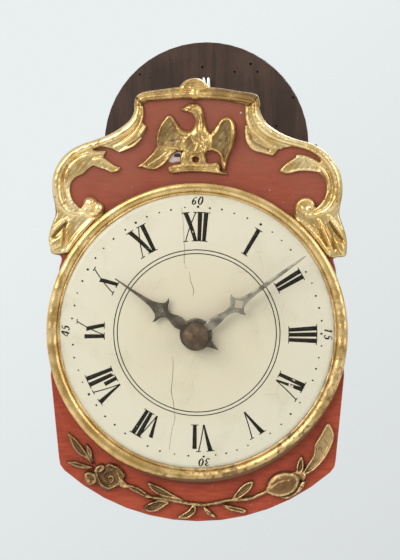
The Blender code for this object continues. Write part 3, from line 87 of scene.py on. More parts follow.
class Letter(Enum):
    """Letters of the hour numerals, each by its pen strokes.

    A stroke is its angle at the top and at the foot, in degrees from the letter's first thick stroke, and its
    half widths there.
    """

    I = ((0.0, 0.0, 1.06, 1.12),)
    V = ((0.0, 2.1, 1.12, 0.5), (5.8, 2.3, 0.27, 0.3))
    X = ((0.0, 4.7, 1.1, 1.1), (5.0, -1.4, 0.27, 0.3))


def srgb(red: int, green: int, blue: int) -> Colour:
    """Turn a colour as seen on a screen into the linear colour of a shader.

    Args:
        red: Red from 0 to 255.
        green: Green from 0 to 255.
        blue: Blue from 0 to 255.

    Returns:
        Linear red, green and blue, with full opacity.
    """
    parts = [part / 255 for part in (red, green, blue)]
    linear = [part / 12.92 if part <= 0.04045 else ((part + 0.055) / 1.055) ** 2.4 for part in parts]
    return linear[0], linear[1], linear[2], 1.0


def smooth_curve(points: Sequence[Sequence[float]], closed: bool, steps: int = 6) -> np.ndarray:
    """Run a smooth curve through points, with its knots spaced by the roots of their distances.

    Args:
        points: Points that the curve goes through; columns after the first two are carried along.
        closed: Whether the last point joins the first.
        steps: Points on each span.

    Returns:
        Points along the curve, one row each.
    """
    least_span = 1e-6
    knots = np.asarray(points, float)
    if closed:
        knots = np.vstack([knots[-1:], knots, knots[:2]])
    else:
        knots = np.vstack([2 * knots[:1] - knots[1:2], knots, 2 * knots[-1:] - knots[-2:-1]])
    spans = np.sqrt(np.linalg.norm(np.diff(knots[:, :2], axis=0), axis=1)) + least_span
    t = np.linspace(0.0, 1.0, steps, endpoint=False)[:, None]
    rows = []
    for k in range(1, len(knots) - 2):
        before, start, end, after = knots[k - 1 : k + 3]
        first, middle, last = spans[k - 1 : k + 2]
        leave = (start - before) / first - (end - before) / (first + middle) + (end - start) / middle
        arrive = (end - start) / middle - (after - start) / (middle + last) + (after - end) / last
        rows.append(
            (2 * t**3 - 3 * t**2 + 1) * start
            + (t**3 - 2 * t**2 + t) * middle * leave
            + (3 * t**2 - 2 * t**3) * end
            + (t**3 - t**2) * middle * arrive
        )
    curve = np.vstack(rows)
    return curve if closed else np.vstack([curve, knots[-2:-1]])


def rounded(share: np.ndarray) -> np.ndarray:
    """Quarter-round profile: 0 at share 0, and 1 from share 1 on."""
    return np.sqrt(1.0 - (1.0 - np.clip(share, 0.0, 1.0)) ** 2)


class ShaderTree:
    """Node tree of one material, with short calls for the nodes that the finishes share."""

    def __init__(self, name: str) -> None:
        """Start a material with a Principled surface.

        Args:
            name: Name of the material.
        """
        self.material = bpy.data.materials.new(name)
        self.material.use_nodes = True
        self.nodes = self.material.node_tree.nodes
        self.surface = self.nodes["Principled BSDF"]

    def put(self, socket: Socket, value: Value) -> None:
        """Link a socket to another, or set its value.

        Args:
            socket: Socket to fill.
            value: Socket to link from, or the value to set.
        """
        if isinstance(value, Socket):
            self.material.node_tree.links.new(value, socket)
        else:
            socket.default_value = value

    def place(self, stretch: tuple[float, float, float] = (1.0, 1.0, 1.0)) -> Socket:
        """Give the object's coordinates, stretched along each axis.

        Args:
            stretch: Factor along x, y and z.

        Returns:
            The coordinates.
        """
        mapping = self.nodes.new("ShaderNodeMapping")
        mapping.inputs["Scale"].default_value = stretch
        self.put(mapping.inputs["Vector"], self.nodes.new("ShaderNodeTexCoord").outputs["Object"])
        return mapping.outputs["Vector"]

    def noise(self, place: Socket, size: float, detail: float = 4.0, distortion: float = 0.0) -> Socket:
        """Give cloudy noise.

        Args:
            place: Coordinates to use.
            size: Size of a cloud, in millimetres.
            detail: Octaves of finer noise.
            distortion: How far the clouds swirl.

        Returns:
            Noise around 0.5.
        """
        node = self.nodes.new("ShaderNodeTexNoise")
        self.put(node.inputs["Vector"], place)
        node.inputs["Scale"].default_value = 1 / (size * MM)
        node.inputs["Detail"].default_value = detail
        node.inputs["Distortion"].default_value = distortion
        return node.outputs["Fac"]

    def cells(self, place: Socket, size: float) -> Socket:
        """Give a pattern of cells.

        Args:
            place: Coordinates to use.
            size: Size of a cell, in millimetres.

        Returns:
            Distance from the cells' edges.
        """
        node = self.nodes.new("ShaderNodeTexVoronoi")
        node.feature = "DISTANCE_TO_EDGE"
        self.put(node.inputs["Vector"], place)
        node.inputs["Scale"].default_value = 1 / (size * MM)
        return node.outputs["Distance"]

    def radius(self) -> Socket:
        """Measure the distance from the hands' axis.

        Returns:
            The distance, in millimetres.
        """
        node = self.nodes.new("ShaderNodeVectorMath")
        node.operation = "LENGTH"
        self.put(node.inputs[0], self.place((1 / MM, 0.0, 1 / MM)))
        return node.outputs["Value"]

    def along(self, way: tuple[float, float, float]) -> Socket:
        """Measure the place along a direction.

        Args:
            way: The direction.

        Returns:
            The place, in millimetres.
        """
        node = self.nodes.new("ShaderNodeVectorMath")
        node.operation = "DOT_PRODUCT"
        self.put(node.inputs[0], self.place((1 / MM, 1 / MM, 1 / MM)))
        node.inputs[1].default_value = way
        return node.outputs["Value"]

    def attribute(self, name: str) -> Socket:
        """Read a value that the mesh carries on its points.

        Args:
            name: Name of the value.

        Returns:
            The value.
        """
        node = self.nodes.new("ShaderNodeAttribute")
        node.attribute_name = name
        return node.outputs["Fac"]

    def step(self, value: Socket, low: float, high: float) -> Socket:
        """Rise smoothly as a value goes from low to high.

        Args:
            value: Value that changes over the surface.
            low: Value at which the rise starts.
            high: Value at which it ends.

        Returns:
            Share from 0 at low to 1 at high.
        """
        node = self.nodes.new("ShaderNodeMapRange")
        node.interpolation_type = "SMOOTHSTEP"
        self.put(node.inputs["Value"], value)
        node.inputs["From Min"].default_value = low
        node.inputs["From Max"].default_value = high
        return node.outputs["Result"]

    def span(self, value: Socket, low: float, high: float) -> Socket:
        """Spread a share over a range.

        Args:
            value: Share from 0 to 1.
            low: Result at share 0.
            high: Result at share 1.

        Returns:
            The result.
        """
        node = self.nodes.new("ShaderNodeMapRange")
        self.put(node.inputs["Value"], value)
        node.inputs["To Min"].default_value = low
        node.inputs["To Max"].default_value = high
        return node.outputs["Result"]

    def maths(self, operation: str, first: Value, second: Value) -> Socket:
        """Combine two values, one of them at least changing over the surface.

        Args:
            operation: Name of the operation.
            first: First value.
            second: Second value.

        Returns:
            The result.
        """
        node = self.nodes.new("ShaderNodeMath")
        node.operation = operation
        self.put(node.inputs[0], first)
        self.put(node.inputs[1], second)
        return node.outputs["Value"]

    def mix(self, share: Socket, first: Value, second: Value) -> Socket:
        """Blend two colours by a share that changes over the surface.

        Args:
            share: Share of the second colour.
            first: Colour at share 0.
            second: Colour at share 1.

        Returns:
            The blend.
        """
        node = self.nodes.new("ShaderNodeMix")
        node.data_type = "RGBA"
        self.put(node.inputs[0], share)
        self.put(node.inputs[COLOUR_A], first)
        self.put(node.inputs[COLOUR_B], second)
        return node.outputs[COLOUR_RESULT]

    def bump(self, height: Socket, depth: float) -> Socket:
        """Bend the normal along a height.

        Args:
            height: Height from 0 to 1.
            depth: How deep that is, in millimetres.

        Returns:
            The normal.
        """
        node = self.nodes.new("ShaderNodeBump")
        node.inputs["Distance"].default_value = depth * MM
        self.put(node.inputs["Height"], height)
        return node.outputs["Normal"]

    def finish(self, inputs: dict[str, Value]) -> Material:
        """Set the surface's inputs.

        Args:
            inputs: Value or socket for each of the surface's inputs, by name.

        Returns:
            The material.
        """
        for name, value in inputs.items():
            self.put(self.surface.inputs[name], value)
        return self.material


@dataclass(frozen=True)
class Gilding:
    """Old gold leaf on a red clay ground: brown in its hollows from soiling and painted shade, rubbed in
    spots, and darker and mottled at the lower right.
    """

    name: str
    leaf: Colour = srgb(214, 178, 108)
    pale: Colour = srgb(248, 222, 164)
    # Red-brown of rubbed spots, and of painted shade on the moulding's outer rim.
    bole_and_shade: Colour = srgb(128, 80, 48)
    # Dark brown of soiling, and of painted shade in the hollows.
    dirt_and_shade: Colour = srgb(88, 68, 36)
    gloss: tuple[float, float] = (0.2, 0.36)
    rubbed: float = 0.6
    # Whether the lower right goes darker and the outer rim takes painted shade and rubbing.
    worn: bool = False
    # Pale colour of a painted highlight on the ridges, where given.
    ridge: Colour | None = None
    patch_size: float = 13.0
    speck_size: float = 2.4
    spot_size: float = 3.6
    grit_size: float = 0.7
    grit_depth: float = 0.09

    def material(self) -> Material:
        """Make the gilding's material.

        Returns:
            The material.
        """
        tree = ShaderTree(self.name)
        place = tree.place()
        patch = tree.noise(place, self.patch_size)
        speck = tree.noise(place, self.speck_size)
        grit = tree.noise(place, self.grit_size, 3.0)
        crest = tree.attribute("crest")
        loss = speck
        # Soiling and painted shade: where the crest is low, in the hollows and along the carving's edges, the
        # leaf turns dark brown.
        hollow = tree.maths("MULTIPLY", tree.step(crest, 0.54, 0.05), tree.span(speck, 0.6, 1.0))
        tone = tree.mix(tree.step(patch, 0.36, 0.66), self.leaf, self.pale)
        shine = tree.span(patch, *self.gloss)
        if self.ridge:
            # Painted highlight: the pale ridge colour lies on the ridges, more of it to the right, and over
            # the right end.
            top = tree.maths("MULTIPLY", tree.step(crest, 0.5, 0.7), tree.step(crest, 0.92, 0.76))
            right = tree.span(tree.step(tree.along((1.0, 0.0, -0.2)), -70.0, 40.0), 0.4, 1.0)
            highlight_spread = tree.maths("MULTIPLY", tree.step(speck, 0.3, 0.62), right)
            end = tree.maths("MULTIPLY", tree.step(tree.along((1.0, 0.0, 0.3)), 33.0, 50.0), 0.6)
            tone = tree.mix(tree.maths("MAXIMUM", end, tree.maths("MULTIPLY", top, highlight_spread)), tone, self.ridge)
        if self.worn:
            # The lower right is darker, mottled and dull.
            foot = tree.step(tree.along((0.7, 0.0, -1.0)), 36.0, 100.0)
            loss = tree.maths("ADD", speck, tree.maths("MULTIPLY", foot, 0.05))
            shine = tree.maths("ADD", shine, tree.maths("MULTIPLY", foot, 0.14))
            # Painted shade, partly rubbed gilding: the outer rim, wider towards the lower right, turns
            # red-brown and dark brown.
            low = tree.step(tree.along((-0.3, 0.0, 1.0)), -30.0, -85.0)
            spread = tree.maths("MULTIPLY", tree.maths("MULTIPLY", low, low), 2.8)
            rim = tree.maths("ADD", tree.radius(), spread)
            rim = tree.step(tree.maths("ADD", rim, tree.maths("MULTIPLY", speck, 1.6)), 83.5, 84.5)
            hollow = tree.maths("MAXIMUM", hollow, tree.maths("MULTIPLY", rim, 0.4))
            spots = tree.span(tree.step(tree.noise(place, self.spot_size, 3.0), 0.5, 0.62), 0.22, 0.78)
            tone = tree.mix(tree.maths("MULTIPLY", foot, spots), tone, self.dirt_and_shade)
            tone = tree.mix(rim, tone, self.bole_and_shade)
        bare = tree.step(loss, self.rubbed, self.rubbed + 0.1)
        colour = tree.mix(hollow, tree.mix(tree.maths("MULTIPLY", bare, 0.7), tone, self.bole_and_shade), self.dirt_and_shade)
        dull = tree.maths("MAXIMUM", bare, hollow)
        rough = tree.maths("ADD", shine, tree.maths("MULTIPLY", dull, 0.2))
        height = tree.maths("ADD", tree.maths("MULTIPLY", grit, 0.3), speck)
        return tree.finish(
            {
                "Base Color": colour,
                "Metallic": tree.maths("SUBTRACT", 0.85, tree.maths("MULTIPLY", dull, 0.5)),
                "Roughness": rough,
                "Coat Weight": 0.3,
                "Coat Roughness": 0.22,
                "Normal": tree.bump(height, self.grit_depth),
            }
        )


@dataclass(frozen=True)
class OilPaint:
    """Oil paint on wood, brushed, paler towards the top with painted sheen, and chipped to its ground."""

    name: str
    base: Colour
    deep: Colour
    # Paler colour towards the top, a painted sheen.
    paler_tone: Colour
    chip: Colour
    bare_back: tuple[Colour, Colour] | None = None
    brush_size: float = 1.5
    cloud_size: float = 19.0
    chip_size: float = 1.3
    # Heights, in millimetres, over which the painted sheen comes in.
    sheen_heights: tuple[float, float] = (-20.0, 125.0)
    back: tuple[float, float] = (-98.7, -98.3)

    def material(self) -> Material:
        """Make the paint's material.

        Returns:
            The material.
        """
        tree = ShaderTree(self.name)
        place = tree.place()
        brush = tree.noise(tree.place((0.16, 1.0, 1.0)), self.brush_size, 5.0)
        cloud = tree.noise(place, self.cloud_size)
        speck = tree.noise(place, self.chip_size, 3.0)
        stroke = tree.maths("ADD", brush, tree.maths("MULTIPLY", cloud, 0.4))
        tone = tree.mix(tree.step(stroke, 0.5, 0.9), self.deep, self.base)
        # Painted sheen: towards the top the paint turns paler, in clouds.
        high = tree.step(tree.along((0.0, 0.0, 1.0)), *self.sheen_heights)
        top_sheen = tree.maths("MULTIPLY", high, tree.step(cloud, -0.5, 0.9))
        chips = tree.step(speck, 0.725, 0.755)
        colour = tree.mix(chips, tree.mix(top_sheen, tone, self.paler_tone), self.chip)
        if self.bare_back:
            wood = tree.mix(tree.step(stroke, 0.5, 0.9), *self.bare_back)
            colour = tree.mix(tree.step(tree.along((0.0, 1.0, 0.0)), *self.back), colour, wood)
        height = tree.maths("SUBTRACT", tree.maths("MULTIPLY", brush, 0.6), chips)
        return tree.finish(
            {
                "Base Color": colour,
                "Roughness": tree.span(cloud, 0.36, 0.58),
                "Specular IOR Level": 0.35,
                "Normal": tree.bump(height, 0.1),
            }
        )


@dataclass(frozen=True)
class DialPaint:
    """Cream lacquer on the domed dial, yellower in the middle, mottled, faintly crazed, soiled in spots, and
    darker at its edge with soiling and painted shade.
    """

    name: str = "dial_paint"
    middle: Colour = srgb(214, 204, 176)
    outer: Colour = srgb(216, 209, 185)
    dirt_and_shade: Colour = srgb(184, 171, 138)
    crack: Colour = srgb(194, 184, 152)
    cloud_size: float = 22.0
    speck_size: float = 2.6
    craze_size: float = 12.0

    def material(self) -> Material:
        """Make the lacquer's material.

        Returns:
            The material.
        """
        tree = ShaderTree(self.name)
        place = tree.place()
        radius = tree.radius()
        cloud = tree.noise(place, self.cloud_size)
        speck = tree.noise(place, self.speck_size)
        craze = tree.cells(tree.place((1.3, 1.0, 0.7)), self.craze_size)
        lines = tree.maths("MULTIPLY", tree.step(craze, 0.012, 0.004), tree.step(cloud, 0.52, 0.66))
        tone = tree.mix(tree.step(radius, 30.0, 60.0), self.middle, self.outer)
        tone = tree.mix(tree.maths("MULTIPLY", tree.step(cloud, 0.48, 0.74), 0.3), tone, self.crack)
        # Soiling and painted shade: a ragged darker band at the dial's edge, beside the moulding.
        edge = tree.maths("ADD", radius, tree.maths("MULTIPLY", speck, 9.0))
        edge_dirt_and_shade = tree.maths("MULTIPLY", tree.step(edge, 77.0, 82.0), 0.22)
        spots = tree.maths("MULTIPLY", tree.step(speck, 0.66, 0.76), 0.3)
        tone = tree.mix(tree.maths("MAXIMUM", edge_dirt_and_shade, spots), tone, self.dirt_and_shade)
        return tree.finish(
            {
                "Base Color": tree.mix(tree.maths("MULTIPLY", lines, 0.22), tone, self.crack),
                "Roughness": tree.span(cloud, 0.3, 0.5),
                "Coat Weight": 0.15,
                "Coat Roughness": 0.2,
                "Normal": tree.bump(tree.maths("SUBTRACT", cloud, lines), 0.1),
            }
        )


@dataclass(frozen=True)
class DialInk:
    """Black dial writing, rubbed away in spots down to the lacquer."""

    name: str = "dial_ink"
    ink: Colour = srgb(27, 24, 16)
    paler_tone: Colour = srgb(52, 47, 35)
    bare: Colour = srgb(214, 207, 182)
    wear: float = 0.66
    patch_size: float = 7.0
    speck_size: float = 1.1

    def material(self) -> Material:
        """Make the ink's material.

        Returns:
            The material.
        """
        tree = ShaderTree(self.name)
        place = tree.place()
        patch = tree.noise(place, self.patch_size, 5.0)
        speck = tree.noise(place, self.speck_size, 3.0)
        tone = tree.mix(tree.step(speck, 0.42, 0.72), self.ink, self.paler_tone)
        loss = tree.maths("ADD", patch, tree.maths("MULTIPLY", speck, 0.12))
        gone = tree.step(loss, self.wear + 0.05, self.wear + 0.08)
        return tree.finish(
            {
                "Base Color": tree.mix(gone, tone, self.bare),
                "Roughness": tree.span(speck, 0.5, 0.7),
                "Specular IOR Level": 0.15,
                "Normal": tree.bump(speck, 0.03),
            }
        )


@dataclass(frozen=True)
class Wood:
    """Sawn and planed wood with its grain along one axis."""

    name: str
    base: Colour
    dark: Colour
    light: Colour
    grain: tuple[float, float, float] = (1.0, 1.0, 0.07)
    gloss: tuple[float, float] = (0.5, 0.78)
    fibre_size: float = 0.9
    year_size: float = 5.5
    cloud_size: float = 26.0
    pore_size: float = 0.42

    def material(self) -> Material:
        """Make the wood's material.

        Returns:
            The material.
        """
        tree = ShaderTree(self.name)
        along = tree.place(self.grain)
        fibre = tree.noise(along, self.fibre_size, 6.0, 0.4)
        year = tree.noise(along, self.year_size, 3.0, 1.2)
        cloud = tree.noise(tree.place(), self.cloud_size)
        pore = tree.noise(along, self.pore_size, 2.0)
        tone = tree.mix(tree.step(year, 0.36, 0.66), self.dark, self.base)
        tone = tree.mix(tree.maths("MULTIPLY", tree.step(cloud, 0.45, 0.75), 0.6), tone, self.light)
        tone = tree.mix(tree.maths("MULTIPLY", tree.step(pore, 0.62, 0.72), 0.55), tone, self.dark)
        return tree.finish(
            {
                "Base Color": tone,
                "Roughness": tree.span(fibre, *self.gloss),
                "Specular IOR Level": 0.35,
                "Normal": tree.bump(tree.maths("ADD", fibre, year), 0.16),
            }
        )


@dataclass(frozen=True)
class Metal:
    """Old worked metal with tarnish in patches and fine tool marks."""

    name: str
    bright: Colour
    tarnish: Colour
    share: tuple[float, float] = (0.45, 0.7)
    gloss: tuple[float, float] = (0.2, 0.5)
    marks: float = 0.08
    patch_size: float = 6.0
    scratch_size: float = 0.35

    def material(self) -> Material:
        """Make the metal's material.

        Returns:
            The material.
        """
        tree = ShaderTree(self.name)
        place = tree.place()
        patch = tree.noise(place, self.patch_size, 6.0)
        scratch = tree.noise(tree.place((1.0, 1.0, 0.15)), self.scratch_size, 3.0)
        dull = tree.step(patch, *self.share)
        rough = tree.maths("ADD", tree.span(scratch, *self.gloss), tree.maths("MULTIPLY", dull, 0.22))
        return tree.finish(
            {
                "Base Color": tree.mix(dull, self.bright, self.tarnish),
                "Metallic": tree.maths("SUBTRACT", 1.0, tree.maths("MULTIPLY", dull, 0.35)),
                "Roughness": rough,
                "Normal": tree.bump(tree.maths("ADD", patch, scratch), self.marks),
            }
        )


@dataclass(frozen=True)
class Palette:
    """Materials of the clock, one for each finish."""

    gilding: Material
    dull_and_shaded_gold: Material
    brown_gold: Material
    worn_and_shaded_gold: Material
    red_paint: Material
    chalk: Material
    bare_wood: Material
    dial_paint: Material
    ink: Material
    line_ink: Material
    crack: Material
    brown_wood: Material
    pale_wood: Material
    steel: Material
    dark_steel: Material
    iron: Material
    brass: Material
    bronze: Material
    wire: Material

    @classmethod
    def mixed(cls) -> "Palette":
        """Make every material once.

        Returns:
            The palette.
        """
        finishes = {
            "gilding": Gilding("old_gilding"),
            # Darker gold of the crest and the bird: partly matte leaf, partly painted shade.
            "dull_and_shaded_gold": Gilding(
                "dull_and_shaded_gold", srgb(160, 124, 68), srgb(222, 188, 120), gloss=(0.18, 0.4), rubbed=0.56
            ),
            # Brown gold, with a painted highlight on its ridges.
            "brown_gold": Gilding(
                "brown_gold", srgb(102, 71, 39), srgb(136, 102, 58), gloss=(0.3, 0.48), rubbed=0.54,
                ridge=srgb(242, 208, 146),
            ),
            # Gilding of the dial's moulding, with painted shade on its outer rim.
            "worn_and_shaded_gold": Gilding("worn_and_shaded_gold", srgb(198, 160, 92), srgb(238, 204, 140), worn=True),
            "red_paint": OilPaint(
                "red_paint", srgb(168, 72, 43), srgb(148, 58, 35), srgb(143, 84, 64), srgb(216, 190, 176),
                bare_back=(srgb(116, 86, 56), srgb(146, 112, 76)),
            ),
            "chalk": OilPaint(
                "chalk", srgb(214, 200, 194), srgb(192, 166, 154), srgb(206, 188, 180), srgb(128, 84, 70)
            ),
            "bare_wood": OilPaint(
                "bare_wood", srgb(52, 38, 30), srgb(36, 27, 22), srgb(64, 48, 40), srgb(120, 90, 76)
            ),
            "wire": Metal(
                "bright_wire", srgb(238, 237, 233), srgb(206, 204, 198), (0.5, 0.75), (0.4, 0.46), 0.005
            ),
            "dial_paint": DialPaint(),
            "ink": DialInk(),
            "line_ink": DialInk("line_ink", wear=0.8),
            "crack": DialInk("dial_crack", srgb(122, 108, 80), srgb(168, 156, 126), wear=0.6),
            "brown_wood": Wood("brown_wood", srgb(74, 56, 45), srgb(58, 43, 34), srgb(88, 68, 56)),
            "pale_wood": Wood("pale_wood", srgb(150, 116, 78), srgb(112, 80, 50), srgb(178, 144, 102)),
            "steel": Metal(
                "hand_steel", srgb(176, 168, 152), srgb(104, 96, 80), (0.4, 0.66), (0.3, 0.5), 0.05
            ),
            "dark_steel": Metal(
                "dark_steel", srgb(124, 114, 98), srgb(80, 72, 60), (0.36, 0.6), (0.34, 0.54), 0.05
            ),
            "iron": Metal("forged_iron", srgb(92, 88, 84), srgb(58, 48, 42), (0.4, 0.65), (0.4, 0.62), 0.15),
            "brass": Metal("old_brass", srgb(196, 158, 88), srgb(118, 88, 46), (0.46, 0.74), (0.22, 0.46)),
            "bronze": Metal(
                "dark_bronze", srgb(126, 106, 86), srgb(90, 74, 58), (0.36, 0.6), (0.36, 0.54), 0.2
            ),
        }
        return cls(**{name: finish.material() for name, finish in finishes.items()})


@dataclass
class Solid:
    """Closed mesh in the making, in millimetres: x to the right, z up, and the depth out from the wall."""

    vertices: list[tuple[float, float, float]] = field(default_factory=list)
    faces: list[tuple[int, ...]] = field(default_factory=list)
    crest: list[float] = field(default_factory=list)

    def add(self, x: float, z: float, depth: float, crest: float = 0.5) -> int:
        """Add a vertex.

        Args:
            x: Place to the right.
            z: Place up.
            depth: Place out from the wall.
            crest: How far the place stands out of the hollows, from 0 to 1.

        Returns:
            Number of the vertex.
        """
        self.vertices.append((x, z, depth))
        self.crest.append(crest)
        return len(self.vertices) - 1

    def turned(
        self,
        profile: Sequence[tuple[float, float, float]],
        segments: int,
        uneven: Callable[[float], float] = lambda angle: 0.0,
        lift: Callable[[float], float] = lambda radius: 0.0,
    ) -> "Solid":
        """Turn a closed profile about the hands' axis.

        Args:
            profile: Radius, depth and crest of each point.
            segments: Points around.
            uneven: Unevenness of the crests' depth at an angle clockwise from the top.
            lift: How far a circle of a radius lies above the axis.

        Returns:
            The solid itself.
        """
        axis = {
            i: self.add(0.0, 0.0, depth, crest)
            for i, (radius, depth, crest) in enumerate(profile)
            if not radius
        }
        rows = []
        for k in range(segments):
            angle = math.tau * k / segments
            cos, sin, rough = math.cos(angle), math.sin(angle), uneven(angle)
            rows.append([
                axis[i]
                if i in axis
                else self.add(radius * sin, radius * cos + lift(radius), depth + rough * crest, crest)
                for i, (radius, depth, crest) in enumerate(profile)
            ])
        for here, there in zip(rows, rows[1:] + rows[:1]):
            for i in range(len(profile)):
                j = (i + 1) % len(profile)
                corners = tuple(dict.fromkeys((here[i], there[i], there[j], here[j])))
                if len(corners) > 2:
                    self.faces.append(corners)
        return self

    def ribbon(self, left: Points, right: Points, front: "DialFace", closed: bool = False) -> None:
        """Lay a thin strip of paint on the dial.

        Args:
            left: Points along the strip's left edge.
            right: Points along its right edge.
            front: Face that the strip lies on.
            closed: Whether the strip closes on itself.
        """
        rows = []
        for pair in zip(left, right):
            row = [self.add(x, z, front.depth(x, z) + front.ink) for x, z in pair]
            row += [self.add(x, z, front.depth(x, z) - front.ink) for x, z in pair]
            rows.append(row)
        spans = list(zip(rows, rows[1:] + rows[:1])) if closed else list(zip(rows, rows[1:]))
        for here, there in spans:
            left_a, right_a, under_left_a, under_right_a = here
            left_b, right_b, under_left_b, under_right_b = there
            self.faces.append((right_a, right_b, left_b, left_a))
            self.faces.append((under_left_a, under_left_b, under_right_b, under_right_a))
            self.faces.append((left_a, left_b, under_left_b, under_left_a))
            self.faces.append((right_b, right_a, under_right_a, under_right_b))
        if not closed:
            for row in (rows[0], rows[-1]):
                self.faces.append((row[0], row[1], row[3], row[2]))

    def thing(self, name: str, material: Material, turn: float = 0.0) -> bpy.types.Object:
        """Make the object.

        Args:
            name: Name of the object.
            material: Its material.
            turn: Degrees to turn it clockwise about the hands' axis.

        Returns:
            The object, in the scene.
        """
        cos, sin = math.cos(math.radians(turn)), math.sin(math.radians(turn))
        places = [
            ((x * cos + z * sin) * MM, -depth * MM, (z * cos - x * sin) * MM) for x, z, depth in self.vertices
        ]
        mesh = bpy.data.meshes.new(name)
        mesh.from_pydata(places, [], self.faces)
        mesh.attributes.new("crest", "FLOAT", "POINT").data.foreach_set("value", self.crest)
        work = bmesh.new()
        work.from_mesh(mesh)
        bmesh.ops.recalc_face_normals(work, faces=work.faces)
        work.to_mesh(mesh)
        work.free()
        mesh.polygons.foreach_set("use_smooth", [True] * len(mesh.polygons))
        mesh.materials.append(material)
        thing = bpy.data.objects.new(name, mesh)
        bpy.context.scene.collection.objects.link(thing)
        return thing


@dataclass(frozen=True)
class Pad:
    """Raised area with a rounded edge and a dished middle, drawn by its outline in millimetres."""

    outline: Points
    height: float
    edge: float
    sharp: bool = False
    dish: float = 0.0

    def line(self) -> np.ndarray:
        """Give the closed outline.

        Returns:
            Its points, one row each.
        """
        if self.sharp:
            return np.asarray(self.outline, float)
        return smooth_curve(self.outline, True)

    def lift(self, places: np.ndarray) -> tuple[np.ndarray, np.ndarray]:
        """Measure the pad over places.

        Args:
            places: Points of the drawing, one row each.

        Returns:
            Distance inside the outline, negative outside, and height.
        """
        loop = self.line()
        gap = np.full(len(places), np.inf)
        inside = np.zeros(len(places), bool)
        x, z = places[:, 0], places[:, 1]
        for (xa, za), (xb, zb) in zip(loop, np.roll(loop, -1, axis=0)):
            dx, dz = xb - xa, zb - za
            share = np.clip(((x - xa) * dx + (z - za) * dz) / max(dx * dx + dz * dz, TINY), 0.0, 1.0)
            gap = np.minimum(gap, np.hypot(x - xa - share * dx, z - za - share * dz))
            if za != zb:
                inside ^= ((za > z) != (zb > z)) & (x < dx * (z - za) / dz + xa)
        depth = np.where(inside, gap, -gap)
        sink = np.clip(depth / self.edge - 0.9, 0.0, 1.0)
        return depth, self.height * rounded(depth / self.edge) - self.dish * sink**2 * (3 - 2 * sink)


def walk(spine: np.ndarray, places: np.ndarray) -> Iterator[tuple[np.ndarray, np.ndarray]]:
    """Measure places against each span of a spine.

    Args:
        spine: Points of (x, z, half width), one row each.
        places: Points of the drawing, one row each.

    Yields:
        Half width of the spine beside each place, and the place's distance from the spine.
    """
    thinnest = 0.05
    for start, end in zip(spine[:-1], spine[1:]):
        along = end[:2] - start[:2]
        share = np.clip((places - start[:2]) @ along / max(along @ along, TINY), 0.0, 1.0)
        half = np.maximum(start[2] + share * (end[2] - start[2]), thinnest)
        yield half, np.linalg.norm(places - start[:2] - share[:, None] * along, axis=1)


@dataclass(frozen=True)
class Bar:
    """Raised rounded ridge along a spine of (x, z, half width), as high as a share of its half width."""

    spine: Spine
    steep: float = 1.4

    def line(self) -> np.ndarray:
        """Give the spine's points."""
        return smooth_curve(self.spine, False)

    def lift(self, places: np.ndarray) -> tuple[np.ndarray, np.ndarray]:
        """Measure the ridge over places.

        Args:
            places: Points of the drawing, one row each.

        Returns:
            Distance inside the ridge, negative outside, and height.
        """
        depth = np.full(len(places), -np.inf)
        height = np.zeros(len(places))
        for half, gap in walk(self.line(), places):
            arch = np.sqrt(np.clip(1.0 - (gap / half) ** 2, 0.0, 1.0))
            depth = np.maximum(depth, half - gap)
            height = np.maximum(height, self.steep * half * arch)
        return depth, height


@dataclass(frozen=True)
class Crease:
    """Groove cut along a spine of (x, z, half width)."""

    spine: Spine
    depth: float

    def cut(self, places: np.ndarray) -> np.ndarray:
        """Measure the groove over places.

        Args:
            places: Points of the drawing, one row each.

        Returns:
            How deep it is.
        """
        deepest = np.zeros(len(places))
        for half, gap in walk(smooth_curve(self.spine, False), places):
            deepest = np.maximum(deepest, np.exp(-((gap / half) ** 2)))
        return self.depth * deepest


